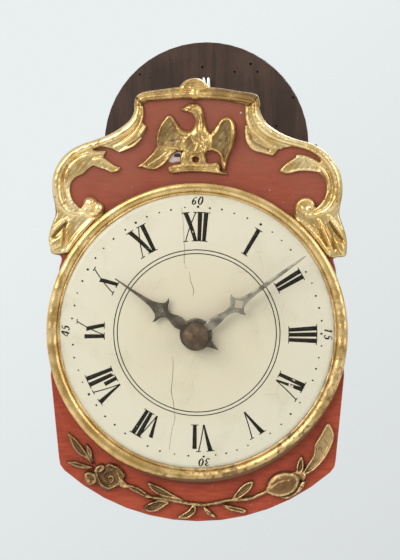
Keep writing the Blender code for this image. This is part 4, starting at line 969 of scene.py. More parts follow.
@dataclass
class Relief:
    """Carved solid with a flat back, built on a fine grid from pads, ridges, grooves and windows.

    It keeps clear_radius away from the hands' axis and lies between bottom and top, in millimetres. It is at
    least as high as least, and a height of full counts as its full crest.
    """

    ground: float
    pads: list[Pad]
    bars: list[Bar] = field(default_factory=list)
    creases: list[Crease] = field(default_factory=list)
    windows: list[Pad] = field(default_factory=list)
    cell: float = 0.36
    clear_radius: float = 0.0
    top: float = math.inf
    bottom: float = -math.inf
    least: float = 0.35
    hand_cut: float = 0.08
    full: float = 4.2
    fade: float = 0.8
    foot: float = 0.5
    wall: float = 0.3
    margin: float = 3.2
    sliver: float = 0.06

    def measure(self, places: np.ndarray) -> tuple[np.ndarray, np.ndarray]:
        """Measure the carving over places.

        Args:
            places: Points of the drawing, one row each.

        Returns:
            Distance inside the carving's edge, negative outside, and height over its back.
        """
        inside = np.full(len(places), -np.inf)
        height = np.zeros(len(places))
        for shape in [*self.pads, *self.bars]:
            depth, lift = shape.lift(places)
            inside = np.maximum(inside, depth)
            height = np.maximum(height, np.where(depth > 0, lift, 0.0))
        x, z = places[:, 0], places[:, 1]
        fade = rounded(inside / self.fade)
        for crease in self.creases:
            height -= crease.cut(places) * fade
        tools = np.sin(0.9 * x + 0.5 * z + 1.3) * np.sin(0.8 * z - 0.4 * x) + 0.6 * np.sin(2.1 * x - 1.7 * z)
        height = np.maximum(height + self.hand_cut * tools * fade, self.least * rounded(inside / self.foot))
        limits = [np.hypot(x, z) - self.clear_radius, *(-window.lift(places)[0] for window in self.windows)]
        limit = np.minimum.reduce(limits)
        edge = np.minimum.reduce([inside, limit, self.top - z, z - self.bottom])
        return edge, height * rounded(limit / self.wall)

    def solid(self) -> Solid:
        """Mesh the carving by marching squares, front and back sharing the points on its edge.

        Returns:
            The closed mesh.
        """
        lines = np.vstack([shape.line()[:, :2] for shape in [*self.pads, *self.bars]])
        low = np.floor((lines.min(0) - self.margin) / self.cell) * self.cell
        high = lines.max(0) + self.margin
        xs = np.arange(low[0], high[0], self.cell)
        zs = np.arange(low[1], high[1], self.cell)
        grid = np.stack(np.meshgrid(xs, zs, indexing="ij"), -1)
        inside, height = (part.reshape(len(xs), len(zs)) for part in self.measure(grid.reshape(-1, 2)))
        solid = Solid()
        front: dict[tuple[int, int], int] = {}
        back: dict[tuple[int, int], int] = {}
        rim: dict[tuple[tuple[int, int], tuple[int, int]], int] = {}
        for i, j in zip(*np.nonzero(inside > 0)):
            crest = min(height[i, j] / self.full, 1.0)
            front[i, j] = solid.add(xs[i], zs[j], self.ground + height[i, j], crest)
            back[i, j] = solid.add(xs[i], zs[j], self.ground, 0.0)
        cells = {(i - a, j - b) for i, j in front for a in (0, 1) for b in (0, 1)}
        for i, j in sorted(cells):
            corners = [(i, j), (i + 1, j), (i + 1, j + 1), (i, j + 1)]
            faces: tuple[list[int], list[int]] = ([], [])
            for here, there in zip(corners, corners[1:] + corners[:1]):
                if here in front:
                    faces[0].append(front[here])
                    faces[1].append(back[here])
                if (here in front) != (there in front):
                    key = (min(here, there), max(here, there))
                    if key not in rim:
                        start, end = inside[key[0]], inside[key[1]]
                        share = min(max(start / (start - end), self.sliver), 1 - self.sliver)
                        x = xs[key[0][0]] + share * self.cell * (key[1][0] - key[0][0])
                        z = zs[key[0][1]] + share * self.cell * (key[1][1] - key[0][1])
                        rim[key] = solid.add(x, z, self.ground, 0.0)
                    faces[0].append(rim[key])
                    faces[1].append(rim[key])
            solid.faces.append(tuple(faces[0]))
            solid.faces.append(tuple(reversed(faces[1])))
        return solid


def ring(x: float, z: float, radius: float) -> Points:
    """Draw a circle as the outline of a pad."""
    angles = [math.tau * k / 10 for k in range(10)]
    return [(x + radius * math.cos(angle), z + radius * math.sin(angle)) for angle in angles]


def placed(work: bmesh.types.BMesh, name: str) -> bpy.types.Object:
    """Turn a mesh in the making into an object of the scene.

    Args:
        work: The mesh in the making, which is used up.
        name: Name of the object.

    Returns:
        The object.
    """
    mesh = bpy.data.meshes.new(name)
    work.to_mesh(mesh)
    work.free()
    thing = bpy.data.objects.new(name, mesh)
    bpy.context.scene.collection.objects.link(thing)
    return thing


def soften(thing: bpy.types.Object, width: float) -> None:
    """Bevel the edges of a piece.

    Args:
        thing: The piece.
        width: Width of the bevel, in millimetres.
    """
    bevel = thing.modifiers.new("edge", "BEVEL")
    bevel.width = width * MM
    bevel.segments = 2
    bevel.limit_method = "ANGLE"
    bevel.angle_limit = SOFT_ANGLE


@dataclass
class SubAssembly:
    """Group of pieces that are built and dressed together."""

    palette: Palette

    def mount(self, thing: bpy.types.Object, body: Body, slot: Slot, *nodes: str) -> None:
        """Let a made piece ride on a body, in place of nodes of the frame.

        Args:
            thing: The piece, in its place.
            body: Body that it moves with.
            slot: Material slot of the record; not used.
            nodes: Nodes that it stands for.
        """
        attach(thing, body.value)
        if nodes:
            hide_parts(*nodes)
        LOG.info("%s rides on %s, %d faces", thing.name, body.value, len(thing.data.polygons))

    def dress(self, node: str, material: Material, edge: float = 0.0) -> None:
        """Give a node of the frame its finish and softened edges.

        Args:
            node: Name of the node.
            material: Its material.
            edge: Width of its edges' bevel, in millimetres.
        """
        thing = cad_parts[node]
        thing.data.materials.clear()
        thing.data.materials.append(material)
        if edge:
            thing.modifiers.new("weld", "WELD").merge_threshold = WELD_GAP
            soften(thing, edge)
        LOG.info("%s keeps its node in %s", node, material.name)


@dataclass
class Shield(SubAssembly):
    """Red shield board with its gilded carvings."""

    clear_radius: float = 82.8
    joint: float = 124.5
    lap: float = 0.3
    proud: float = 0.05
    board_edge: float = 1.2
    stretch: float = 1.009
    drop: float = 0.26

    def ground(self) -> float:
        """Give the depth of the board's front, in millimetres."""
        return -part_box("shield_board")[0].y / MM + self.proud

    def carve(self, node: str, relief: Relief, gold: Material) -> None:
        """Put a carving in place of its plain node."""
        self.mount(relief.solid().thing(f"gilded_{node}", gold), Body.CASE, Slot.GILDING, node)

    def build(self) -> None:
        """Dress the board and make its carvings."""
        self.dress("shield_board", self.palette.red_paint, self.board_edge)
        self.crest()
        self.left_scroll()
        self.right_scroll()
        self.eagle()
        self.garland()
        self.bare_patch()

    def bare_patch(self) -> None:
        """Show the ground and the wood where the paint is lost beside the bird's leg."""
        chalk = [
            (-15.8, 94.6), (-14.6, 97), (-12.6, 98.8), (-10.6, 99.6), (-8.8, 99.2), (-8.6, 96.6),
            (-8.8, 94.4), (-11, 94.2), (-13.6, 93.6),
        ]
        wood = [(-12.8, 98), (-11, 99), (-9.2, 98.6), (-8.9, 97), (-10.6, 96.6), (-12.4, 96.8)]
        sunk, edge = 0.08, 0.1
        for name, outline, thick, paint in (
            ("bare_chalk", chalk, 0.12, self.palette.chalk),
            ("bare_wood", wood, 0.2, self.palette.bare_wood),
            ("paint_chip", ring(24.1, 121, 0.6), 0.12, self.palette.chalk),
        ):
            relief = Relief(self.ground() - sunk, [Pad(outline, thick, edge)], least=edge, hand_cut=0.0)
            self.mount(relief.solid().thing(name, paint), Body.CASE, Slot.RED_PAINT)

    def crest(self) -> None:
        """Carve the bar and knob along the top."""
        upper = [
            (-34.3, 123.8), (-34.1, 127.8), (-33, 130.4), (-30.2, 132.1), (-22.6, 133.5), (-15.5, 134.4),
            (-10.3, 135.1), (0, 135.4), (10.5, 134.8), (17.6, 133.8), (23.8, 132.8), (29.4, 132),
            (32.8, 130.8), (34.2, 128.4), (34.2, 123.8),
        ]
        lower = [
            (26.2, 123.8), (26, 125.4), (22.3, 126.3), (15.2, 127.6), (5.8, 128.7), (-3.7, 129.1),
            (-15.5, 128.6), (-25, 127.5), (-29, 126), (-30.2, 123.8),
        ]
        knob = [
            (-10, 133.6), (-8.9, 136.2), (-6.5, 138.6), (-2.8, 139.9), (1, 139.9), (3.4, 138.7),
            (5.3, 136.8), (6.9, 134.4), (0, 132.4),
        ]
        relief = Relief(
            ground=self.ground(),
            pads=[Pad([*upper, *lower], 1.5, 0.7), Pad(knob, 3.2, 2.2)],
            bars=[
                Bar([(-31.8, 122.6, 2.2), (-31.6, 127, 2.2), (-29.2, 128.9, 2.1), (-23, 129.8, 2.2),
                     (-12, 130.7, 2.3), (0, 131.1, 2.4), (12, 130.5, 2.4), (22, 129.2, 2.3),
                     (29.2, 127.9, 2.2), (31, 126.6, 2.3), (31.1, 122.6, 2.5)], 1.35),
                Bar([(-8.2, 134.2, 0.6), (-1.5, 134.9, 1.0), (5.8, 134.3, 0.6)], 3.6),
                Bar([(-1.3, 134, 2.6), (-1.3, 131.4, 3.6)], 1.12),
                Bar([(-7.4, 136.4, 0.5), (-4.6, 138.7, 0.6), (-1, 139.3, 0.6), (2.6, 138.3, 0.6),
                     (4.6, 136.4, 0.5)], 5.4),
            ],
            creases=[
                Crease([(-6.2, 136.4, 0.7), (-1.2, 137, 0.9), (3.8, 136.3, 0.7)], 1.0),
                Crease([(-34, 130.2, 0.35), (-31.5, 127.6, 0.4), (-29, 125.4, 0.35)], 1.2),
                Crease([(33.4, 129.8, 0.35), (31, 127.2, 0.4), (28.4, 124.8, 0.35)], 0.9),
            ],
            bottom=self.joint - self.lap,
            hand_cut=0.03,
            cell=0.28,
        )
        # The crest's darker gold is in part painted shade.
        self.carve("crest_moulding", relief, self.palette.dull_and_shaded_gold)

    def left_scroll(self) -> None:
        """Carve the left side: crest leaf, double-ridged scroll, two-lobed volute and folded ear."""
        outer = [
            (-34, 127), (-34.6, 121.6), (-36.9, 116.6), (-41.4, 112), (-47.5, 108.7), (-55.1, 105.7),
            (-62.6, 103.5), (-69.4, 100), (-74.9, 94.4), (-78.3, 88), (-79.6, 82.2), (-79.4, 75.8),
            (-78.1, 70.1), (-77.4, 66.3), (-79.2, 61.3), (-81.3, 55), (-81.8, 50.5), (-80.9, 46.4),
            (-80.2, 43.6), (-76.5, 43), (-72.6, 43.4),
        ]
        inner = [
            (-66, 45), (-60, 53), (-54, 60), (-51.2, 65.2), (-51.2, 69.5), (-53.4, 71.9), (-55.6, 72.4),
            (-57, 74.9), (-60.4, 74.6), (-62.2, 71.8), (-62.9, 69.4), (-64.1, 68.8), (-66, 70.4),
            (-68.4, 73.6), (-69.6, 78.3), (-69.2, 82), (-67.2, 84.8), (-62.4, 87.4), (-57.3, 91.6),
            (-54.4, 91.8), (-50.4, 89.7), (-46.6, 88.1), (-43.4, 88.7), (-41.8, 91.3), (-44.7, 92),
            (-48.5, 94), (-51, 96.4), (-50.2, 99.4), (-54, 100.4), (-57.5, 101), (-54, 101.8), (-50.6, 102),
            (-45.9, 100.6), (-42.8, 99.1), (-40.9, 100.3), (-36.6, 102), (-33.4, 104), (-30.6, 107),
            (-28.3, 110.6), (-27.4, 114), (-29.4, 115.6), (-29.4, 120.6), (-29.4, 127),
        ]
        relief = Relief(
            ground=self.ground(),
            pads=[
                Pad([*outer, *inner], 1.7, 1.3),
                Pad(ring(-58.6, 71.2, 4), 4.6, 4),
                Pad(ring(-54.6, 68.6, 3.6), 4.2, 3.6),
                Pad([(-63.6, 66.4), (-62, 71), (-57, 73), (-52.4, 70), (-51.8, 66.6), (-55, 63.6),
                     (-60.4, 63)], 3.1, 3),
                Pad([(-81, 51.6), (-77, 53.4), (-73.8, 55.4), (-73.4, 50), (-75.4, 46),
                     (-79.8, 45.2)], 3.2, 2.4),
            ],
            bars=[
                Bar([(-31.7, 127, 2.1), (-32.2, 121, 2.3), (-34.6, 115.6, 2.7), (-39.8, 110.8, 2.9),
                     (-47.1, 106.8, 2.6), (-55.5, 103.8, 2.3), (-62.6, 101.4, 2.3), (-68.8, 97.8, 2.5),
                     (-73.5, 92.6, 2.7), (-76.4, 86, 2.8), (-76.8, 79.6, 2.8), (-75.8, 73.6, 2.6),
                     (-73.4, 68.8, 2.3), (-69.8, 65.8, 2), (-65.4, 65, 1.7), (-61, 66.4, 1.5)]),
                Bar([(-50.8, 99.6, 0.8), (-55, 99, 1.2), (-61, 97.6, 1.5), (-67, 94.2, 1.7),
                     (-70.8, 89.4, 1.8), (-72.3, 84, 1.7), (-72, 78, 1.5), (-70, 72.4, 1.2),
                     (-67.2, 69.2, 1), (-64, 67.8, 0.9)], 1.9),
                Bar([(-63.4, 67.4, 1.1), (-61.6, 70, 1.3), (-60, 72.6, 1.4)], 2.4),
                Bar([(-71, 63.2, 1), (-74.6, 60.4, 1.5), (-78.2, 57, 1.7), (-80.4, 54, 1.2)], 2.3),
                Bar([(-70.4, 62.4, 1), (-71.4, 57.6, 1.3), (-71.8, 52.6, 1.3), (-72.2, 47, 1)], 2.6),
                Bar([(-80.2, 49.4, 1.4), (-80.2, 48.2, 1.4)], 2.6),
                Bar([(-57.4, 62.4, 1.8), (-62.3, 57.2, 2.2), (-67.1, 51.2, 2.2), (-71.1, 45.4, 1.8)], 1.5),
                Bar([(-30, 124.8, 0.8), (-30, 119, 0.9), (-31.2, 114.6, 1), (-34.8, 109.4, 1.1),
                     (-40, 105, 1), (-46, 101.9, 0.7)], 2.6),
                Bar([(-28.4, 113.6, 0.8), (-30, 111, 1.1), (-31.6, 108.4, 1)], 2.8),
                Bar([(-31, 107.2, 0.9), (-34.4, 103.8, 1.1), (-39, 101.4, 1), (-42.6, 99.8, 0.7)], 2.6),
                Bar([(-56.4, 95, 1.1), (-52.9, 96, 1.2), (-49.2, 94, 1.2), (-45.8, 91.6, 1),
                     (-42.8, 90.6, 0.5)], 2.4),
                Bar([(-56, 92.2, 0.6), (-50.4, 90.4, 0.7), (-46.4, 88.9, 0.8), (-43, 89.8, 0.6)], 3.0),
            ],
            creases=[
                Crease([(-55.4, 73, 0.5), (-56.5, 70, 0.7), (-57.8, 66.2, 0.8)], 1.2),
                Crease([(-71.4, 60.6, 0.6), (-75.4, 57.2, 0.8), (-79.6, 52.4, 0.6)], 1.1),
                Crease([(-73, 59, 0.4), (-73.4, 53, 0.6), (-74.2, 46, 0.5)], 0.6),
                Crease([(-29.2, 109.8, 0.5), (-32.4, 106.6, 0.6), (-37.4, 103.2, 0.5)], 1.2),
            ],
            clear_radius=self.clear_radius,
            top=self.joint + self.lap,
        )
        self.carve("left_scroll", relief, self.palette.gilding)

    def right_scroll(self) -> None:
        """Carve the right side: crest leaf, double-ridged scroll, hooked volute and ribbed ear."""
        outer = [
            (34, 127), (34, 124.6), (35.6, 119.4), (40, 113.7), (46.4, 109.3), (53.9, 106.5), (61.5, 104.9),
            (67.8, 101.8), (73.5, 96.7), (77.9, 89.8), (79.6, 82.7), (79.6, 75.8), (78.5, 70), (78.1, 65.7),
            (79.7, 60.6), (81.8, 53.7), (82.3, 46.7), (81.4, 42.6), (77.1, 42), (74.9, 41.4),
        ]
        inner = [
            (66, 45), (60, 53), (55, 60), (53, 65), (53.7, 68.4), (55, 72.2), (58.2, 74.6), (61.4, 74.9),
            (64.2, 73.4), (65, 70.6), (65.8, 69.2), (67.8, 70.6), (70.1, 73.6), (70.7, 77.7), (70.8, 81),
            (70.1, 84), (67.6, 87.6), (65, 88.7), (56.3, 89.2), (51.2, 88), (47.4, 87.6), (45.2, 89.7),
            (46.2, 91.3), (48.7, 93.2), (51.8, 95.4), (54, 96.6), (53.8, 98.2), (57.5, 98.6), (61.5, 97.6),
            (65.5, 95.6), (67.4, 94.4), (66, 97.4), (62, 99.8), (57, 101.6), (52, 102.4), (49.3, 102),
            (44.9, 101), (43.3, 98.9), (41.7, 97.5), (36.7, 98.8), (31.6, 100), (27.4, 103.4), (26, 108.6),
            (26, 111.8), (27, 114.6), (26.6, 117.5), (26.2, 121), (26.2, 127),
        ]
        relief = Relief(
            ground=self.ground(),
            pads=[
                Pad([*outer, *inner], 1.7, 1.3),
                Pad(ring(59.4, 70.4, 4.6), 2.6, 2.0, dish=1.0),
                Pad([(74.8, 53), (78, 51.8), (81.2, 50.4), (81.2, 44), (79, 43.2), (76.2, 47)], 3.4, 2.4),
            ],
            bars=[
                Bar([(31.1, 127, 2.4), (31.7, 120.6, 2.5), (34.7, 114.7, 2.9), (40.5, 109.8, 3.1),
                     (47.7, 106.4, 2.6), (55.6, 104.2, 2.1), (62.3, 102.2, 2.2), (68.4, 98.4, 2.4),
                     (73.2, 93, 2.5), (76.2, 86.6, 2.7), (76.9, 80.4, 2.7), (76.2, 75.2, 2.6),
                     (73.8, 70.4, 2.4), (69.8, 67, 2.2), (65, 65.4, 2), (60.4, 65.6, 1.6)]),
                Bar([(54.8, 97.5, 0.8), (61.2, 96.2, 1.3), (66.3, 93, 1.6), (70.4, 88.2, 1.7),
                     (72.6, 83, 1.3), (73.2, 79, 0.8)], 2.2),
                Bar([(71.8, 82, 0.6), (71.6, 77.4, 0.9), (69.8, 72.8, 1), (66.8, 69.4, 1),
                     (64.6, 68, 0.8)], 2.6),
                Bar([(54.8, 66.2, 1.2), (55.3, 70.4, 1.5), (57.7, 73.1, 1.6), (60.8, 73.5, 1.6),
                     (63.3, 71.8, 1.5), (63.3, 69.2, 1.3)], 2.6),
                Bar([(56, 62.2, 1.8), (61.6, 57.4, 2.2), (67, 51.4, 2.3), (72, 44.6, 2)], 1.5),
                Bar([(67, 62.6, 1.1), (69.2, 57.6, 1.6), (71.6, 52, 1.8), (73.8, 46.4, 1.5)], 2.0),
                Bar([(72.4, 64.8, 1.2), (75.6, 60.4, 1.6), (78.6, 55.8, 1.7), (80.6, 52.6, 1.2)], 2.2),
                Bar([(27.2, 124.8, 0.9), (27.5, 117.5, 1), (29.6, 112, 1.2), (33, 109, 1.3),
                     (37.4, 105.6, 1.2), (42, 102.6, 1), (46.4, 101.6, 0.6)], 2.4),
                Bar([(27, 113.6, 0.8), (26.9, 109, 0.9), (28.1, 104.8, 1), (31.2, 101.4, 1),
                     (36, 99.9, 0.9), (41.4, 98.5, 1.1)], 2.6),
                Bar([(46.2, 89.4, 0.9), (50, 88.7, 0.8), (56, 89.9, 0.8), (62, 90, 0.8),
                     (67.2, 89.2, 0.9)], 2.8),
                Bar([(46.4, 90, 0.8), (49, 92.6, 0.8), (52.4, 94.9, 0.8), (55, 96.8, 0.6)], 2.8),
            ],
            creases=[
                Crease([(72.8, 61.2, 0.5), (76.4, 56, 0.7), (79.8, 51.8, 0.5)], 1.3),
                Crease([(70.8, 62, 0.4), (73.6, 55, 0.6), (75.6, 46.6, 0.5)], 0.8),
                Crease([(64.6, 60.4, 0.4), (68.4, 54.6, 0.5), (72, 47.6, 0.5)], 0.7),
                Crease([(28.8, 109.4, 0.7), (30.4, 105.4, 0.9), (34.6, 103, 0.8), (39.6, 100.8, 0.5)], 1.0),
            ],
            clear_radius=self.clear_radius,
            top=self.joint + self.lap,
        )
        self.carve("right_scroll", relief, self.palette.gilding)

    def eagle(self) -> None:
        """Carve the bird with open wings on its perch."""
        body = [
            (-9.2, 122.6), (-6.6, 124.6), (-4.7, 126.1), (-1.8, 126.7), (1, 126.1), (2.9, 124.1),
            (4.1, 119.8), (4.8, 116.1), (5.8, 112.3), (7.4, 109.9), (7.4, 106), (7, 101.6), (5.4, 98.8),
            (2.4, 97.8), (-2.6, 97.8), (-6.4, 98.8), (-8.8, 101), (-9.6, 105), (-8, 109), (-5.1, 111),
            (-3, 111.8), (-1.6, 113.7), (-1.1, 116.1), (-1.8, 118.4), (-3.7, 120.6), (-5.8, 121.5),
            (-7.6, 121.9),
        ]
        left_wing = [
            (-5.4, 111), (-8.7, 112.4), (-11, 115.6), (-13.2, 119), (-15.3, 120), (-17.9, 117.6),
            (-20.3, 114.2), (-21.6, 110.4), (-22.5, 106), (-22, 102.6), (-17.6, 101.6), (-12.2, 100.7),
            (-8, 100.2), (-5, 105),
        ]
        tail = [
            (-22, 102.6), (-17, 102.2), (-11.2, 100.2), (-13.6, 98.3), (-16, 94.8), (-17.9, 92.6),
            (-20.3, 90.9), (-23.1, 89.7), (-26.4, 89.9), (-29.7, 91), (-33.1, 91.4), (-30.7, 93.4),
            (-27.4, 96.3), (-24.1, 99.6),
        ]
        right_wing = [
            (6.8, 110), (8.1, 109.7), (10.5, 112.7), (11.9, 116.1), (13.8, 118.1), (16.7, 118.9), (19, 118),
            (20.8, 115.1), (21.5, 110.9), (21.3, 106), (19.8, 101.9), (18.2, 98.4), (17, 95.2), (16.3, 91),
            (15.3, 89.6), (14, 90.4), (12.9, 93.8), (12.2, 97.6), (10.6, 99.4), (8.1, 100.2), (6, 100.6),
        ]
        perch = [
            (-15.9, 91.3), (-13.2, 92.6), (-9, 93.3), (-4, 93.4), (2, 93.2), (8, 93.5), (11.9, 93.4),
            (13, 91.4), (13, 89.4), (17.1, 88), (16.8, 87.3), (10.5, 87.7), (5.8, 88.3), (-1.3, 88.5),
            (-8.4, 88.3), (-14.1, 87.8), (-15.7, 89),
        ]
        feathers = ((0.4, 107.2), (2.2, 105.6), (4.6, 107), (1.2, 103.8), (3.2, 102.2), (-0.4, 105.4))
        relief = Relief(
            ground=self.ground(),
            pads=[
                Pad(body, 3.4, 3.2),
                Pad(left_wing, 2.6, 1.2, dish=1.5),
                Pad(right_wing, 2.8, 1.4, dish=2.1),
                Pad(tail, 2.4, 1.1, dish=0.8),
                Pad(perch, 2.6, 1.2, dish=0.9),
                Pad([(-8.4, 99.4), (-8.6, 92.6), (4.6, 92.6), (5, 97.6), (3.4, 100.4),
                     (-4, 101)], 2.1, 1.2),
            ],
            bars=[
                Bar([(-14.4, 118.8, 1), (-12, 115.2, 1.3), (-9.6, 111.4, 1.6), (-6, 109, 1.6),
                     (-3.4, 107.4, 1.2)], 2.2),
                Bar([(-15.4, 119, 0.6), (-18.4, 115.6, 0.7), (-20.6, 111, 0.8), (-21.5, 106, 0.8),
                     (-21.4, 103.2, 0.7)], 3.6),
                Bar([(14, 117.2, 0.8), (16.6, 117.9, 0.9), (18.7, 116.6, 1.3), (19.7, 112.8, 1.7),
                     (19.6, 107.4, 1.7), (18.4, 102.6, 1.5), (16.8, 98, 1), (15.6, 93.4, 0.8),
                     (14.9, 90.6, 0.6)], 2.7),
                Bar([(8.8, 110.4, 0.8), (7.9, 107, 1.1), (7.6, 103, 1.1), (7, 100.8, 0.9)], 3.2),
                Bar([(12.2, 115, 0.7), (10.4, 111.8, 0.8), (8.6, 109.8, 0.8)], 3.2),
                Bar([(-4.4, 100, 2.2), (-5.8, 96.6, 1.8), (-7, 93, 1.4)], 1.6),
                Bar([(3, 99.4, 2), (3.6, 96.2, 1.2), (4.2, 93.4, 1.2)], 2.2),
                Bar([(4.6, 93.5, 0.8), (7, 92.9, 0.8), (11, 93.5, 0.7)], 3.4),
                Bar([(-15, 90.6, 0.7), (-6, 92.2, 0.8), (3, 92.4, 0.8), (12, 92.2, 0.7)], 3.2),
                Bar([(-1.6, 123.8, 2.2), (0.9, 120.4, 2.1), (2, 116.4, 2.2), (1.8, 111.6, 2.6)], 1.9),
                Bar([(-0.7, 97.8, 0.7), (-2.9, 96.7, 0.6), (-3, 94.6, 0.6), (-0.7, 93.4, 0.7)], 4.6),
                Bar([(-0.7, 97.8, 0.7), (1.5, 96.7, 0.6), (1.6, 94.6, 0.6), (-0.7, 93.4, 0.7)], 4.6),
            ],
            creases=[
                Crease([(-7.8, 122.5, 0.35), (-5, 123.1, 0.35), (-3.4, 122.1, 0.3)], 0.9),
                Crease([(-2.2, 124.5, 0.5), (-1.9, 124.4, 0.45)], 1.1),
                Crease([(-19.4, 106, 0.4), (-14, 105.6, 0.5), (-9, 106.4, 0.4)], 0.4),
                Crease([(-18.8, 110.6, 0.4), (-15, 110, 0.5), (-12, 109.6, 0.4)], 0.4),
                Crease([(-17.4, 99.8, 0.4), (-23, 95.6, 0.5), (-29, 91.8, 0.4)], 0.6),
                Crease([(-15.2, 97.4, 0.4), (-19.6, 94, 0.5), (-24.4, 91, 0.4)], 0.6),
                Crease([(-22, 101.6, 0.4), (-17.4, 101.2, 0.4), (-12.4, 100, 0.4)], 0.8),
                Crease([(-2.4, 107.6, 0.7), (-0.6, 104.4, 0.8), (-1.4, 100.8, 0.6)], 0.6),
                Crease([(3.4, 108.6, 0.7), (4.4, 104.6, 0.8), (3.8, 101, 0.6)], 0.6),
                *(Crease([(x, z, 0.5), (x + 0.5, z - 0.3, 0.5)], 0.7) for x, z in feathers),
            ],
            windows=[Pad(ring(8.4, 96.8, 3.1), 1, 1), Pad(ring(-0.7, 95.6, 1.5), 1, 1)],
            cell=0.3,
            clear_radius=self.clear_radius,
        )
        # The bird's darker gold is in part painted shade.
        self.carve("eagle", relief, self.palette.dull_and_shaded_gold)

    def hung(self, points: Sequence[Sequence[float]]) -> list[tuple[float, ...]]:
        """Lower points that were traced straight ahead to where a raised eye sees them."""
        return [(x, self.stretch * z - self.drop, *rest) for x, z, *rest in points]

    def garland(self) -> None:
        """Carve the rose, bud, stem and hollow leaves under the dial."""
        leaves = [
            [(-71.5, -55), (-70.2, -60.1), (-66.6, -66.3), (-61.2, -69.8), (-57.6, -72.6), (-60.6, -66.3),
             (-64.2, -61.2), (-67.7, -57.3)],
            [(-61.2, -60.9), (-58, -64.6), (-57.4, -69.6), (-56.4, -72.6), (-60.2, -67.9), (-61.4, -64.4)],
            [(-72.7, -71.3), (-67.9, -70.5), (-62.3, -72), (-57, -74), (-60, -75.2), (-64.5, -74.8),
             (-69, -73.4)],
            [(-38.6, -83.2), (-33, -84.4), (-27, -88.2), (-24, -90.6), (-28, -91), (-33, -88.4),
             (-37.8, -85.8)],
            [(-27.5, -82), (-21.9, -83.5), (-14.6, -87.4), (-7, -92), (-12, -91.6), (-20.7, -89.5),
             (-25.8, -86.1)],
            [(-29.7, -96), (-25.8, -93), (-18, -91.8), (-15, -93.4), (-17.9, -95.6), (-22.4, -98.4),
             (-27.5, -98.4)],
            [(-11.2, -101.6), (-5, -97), (-2.4, -94.4), (-0.2, -95.4), (-0.4, -98.4), (-3, -101),
             (-6.2, -102.4)],
            [(19.4, -91), (23, -85.2), (27, -81.8), (31.4, -80.8), (30.5, -84.9), (25.8, -89.5),
             (22, -91.6)],
            [(14, -94), (21.3, -94.8), (27.7, -97), (26.4, -99), (22.5, -98.4), (17, -97)],
            [(3.6, -95), (7.9, -97.8), (11.2, -101.4), (7.3, -100.8), (4, -98)],
            [(55, -76.4), (55.2, -70.6), (57.8, -66.5), (59.2, -70.2), (58.6, -75.6)],
            [(57.6, -78), (60.6, -71.9), (64, -66.3), (64.8, -60.6), (67.4, -56.2), (72.4, -48.6),
             (75.8, -55), (74.7, -60.6), (71.3, -67.4), (66.2, -73.6), (61.8, -76.8)],
        ]
        petals = [
            [(-62.6, -77.5), (-59.5, -76.1), (-56.7, -77.2), (-55, -80.3), (-56.1, -83.1), (-58.9, -84.1),
             (-61.4, -82.5)],
            [(-57.4, -76.6), (-55.6, -73), (-52, -71.9), (-50.6, -74.6), (-53.6, -77.4)],
            [(-42.6, -79.4), (-38.7, -82.5), (-37.3, -84.8), (-39.3, -85.8), (-43, -84.4)],
            [(54, -75.2), (58.4, -75.4), (60.6, -77.4), (59, -80.6), (55.4, -79)],
        ]
        rose = [
            (-57, -76.4), (-54.4, -72.9), (-51, -72.6), (-48.6, -71.4), (-44.6, -72.4), (-40.8, -75.4),
            (-39, -78.6), (-41, -81.8), (-42.2, -84.8), (-46, -85.6), (-48.8, -87.2), (-52.9, -86),
            (-55, -83.4), (-57.4, -80),
        ]
        bud = [
            (37.6, -87), (39.3, -80.6), (43.8, -76.4), (49.4, -75.2), (53.4, -75.8), (56.4, -77.5),
            (57.4, -80.6), (55.6, -85.4), (52.4, -88.4), (46.6, -90), (41.6, -89.4),
        ]
        sepal = [
            (45.5, -90.1), (49.4, -89.3), (53.9, -87), (56.7, -82.5), (58.4, -80.4), (60.2, -80.6),
            (59, -84.8), (55, -88.4), (49.4, -90.9),
        ]
        stem = [
            (-27, -90.4, 1.1), (-24.7, -90.6, 1.2), (-16.3, -91.6, 1.3), (-7.8, -93.2, 1.4),
            (0.6, -94.2, 1.4), (5.6, -94.2, 1.3), (12.9, -92.8, 1.3), (18.5, -91.6, 1.3),
            (24.2, -91.6, 1.3), (30.3, -90.5, 1.3), (34.8, -88.4, 1.3), (39, -86.5, 1.3),
        ]
        ridges = [
            [(-49, -79.8, 0.6), (-47.4, -78.6, 0.7), (-46.2, -80.4, 0.7), (-48, -82.6, 0.8),
             (-51, -81.6, 0.8), (-51.8, -78.6, 0.8), (-49.6, -75.8, 0.8), (-46, -75.4, 0.7)],
            [(-47, -72.9, 0.6), (-43, -74.8, 0.8), (-40.6, -78.8, 0.6)],
            [(-55.6, -77.2, 0.7), (-54.6, -80.4, 0.7), (-52.6, -83.6, 0.7), (-48.6, -85.4, 0.7),
             (-44.4, -83.6, 0.7)],
            [(-43.8, -77.6, 0.6), (-42.8, -80.6, 0.7), (-43.6, -83.2, 0.6)],
            [(53.4, -76.4, 0.8), (56.4, -77.6, 1), (58.4, -79.4, 0.8)],
        ]
        fold = [(41.4, -83.4, 0.4), (46, -80.4, 0.5), (50.4, -79.6, 0.4)]
        relief = Relief(
            ground=self.ground(),
            pads=[Pad(self.hung(leaf), 2.9, 1.0, dish=1.5) for leaf in leaves]
            + [Pad(self.hung(petal), 3.4, 1.3, dish=1.2) for petal in petals]
            + [
                Pad(self.hung(rose), 2.2, 1.8, dish=0.5),
                Pad(self.hung(bud), 4.3, 5.0),
                Pad(self.hung(sepal), 2.8, 1.2, dish=0.8),
            ],
            bars=[Bar(self.hung(stem), 2.0), *(Bar(self.hung(ridge), 5.0) for ridge in ridges)],
            creases=[Crease(self.hung(fold), 0.5)],
            clear_radius=self.clear_radius,
        )
        self.carve("flower_garland", relief, self.palette.brown_gold)


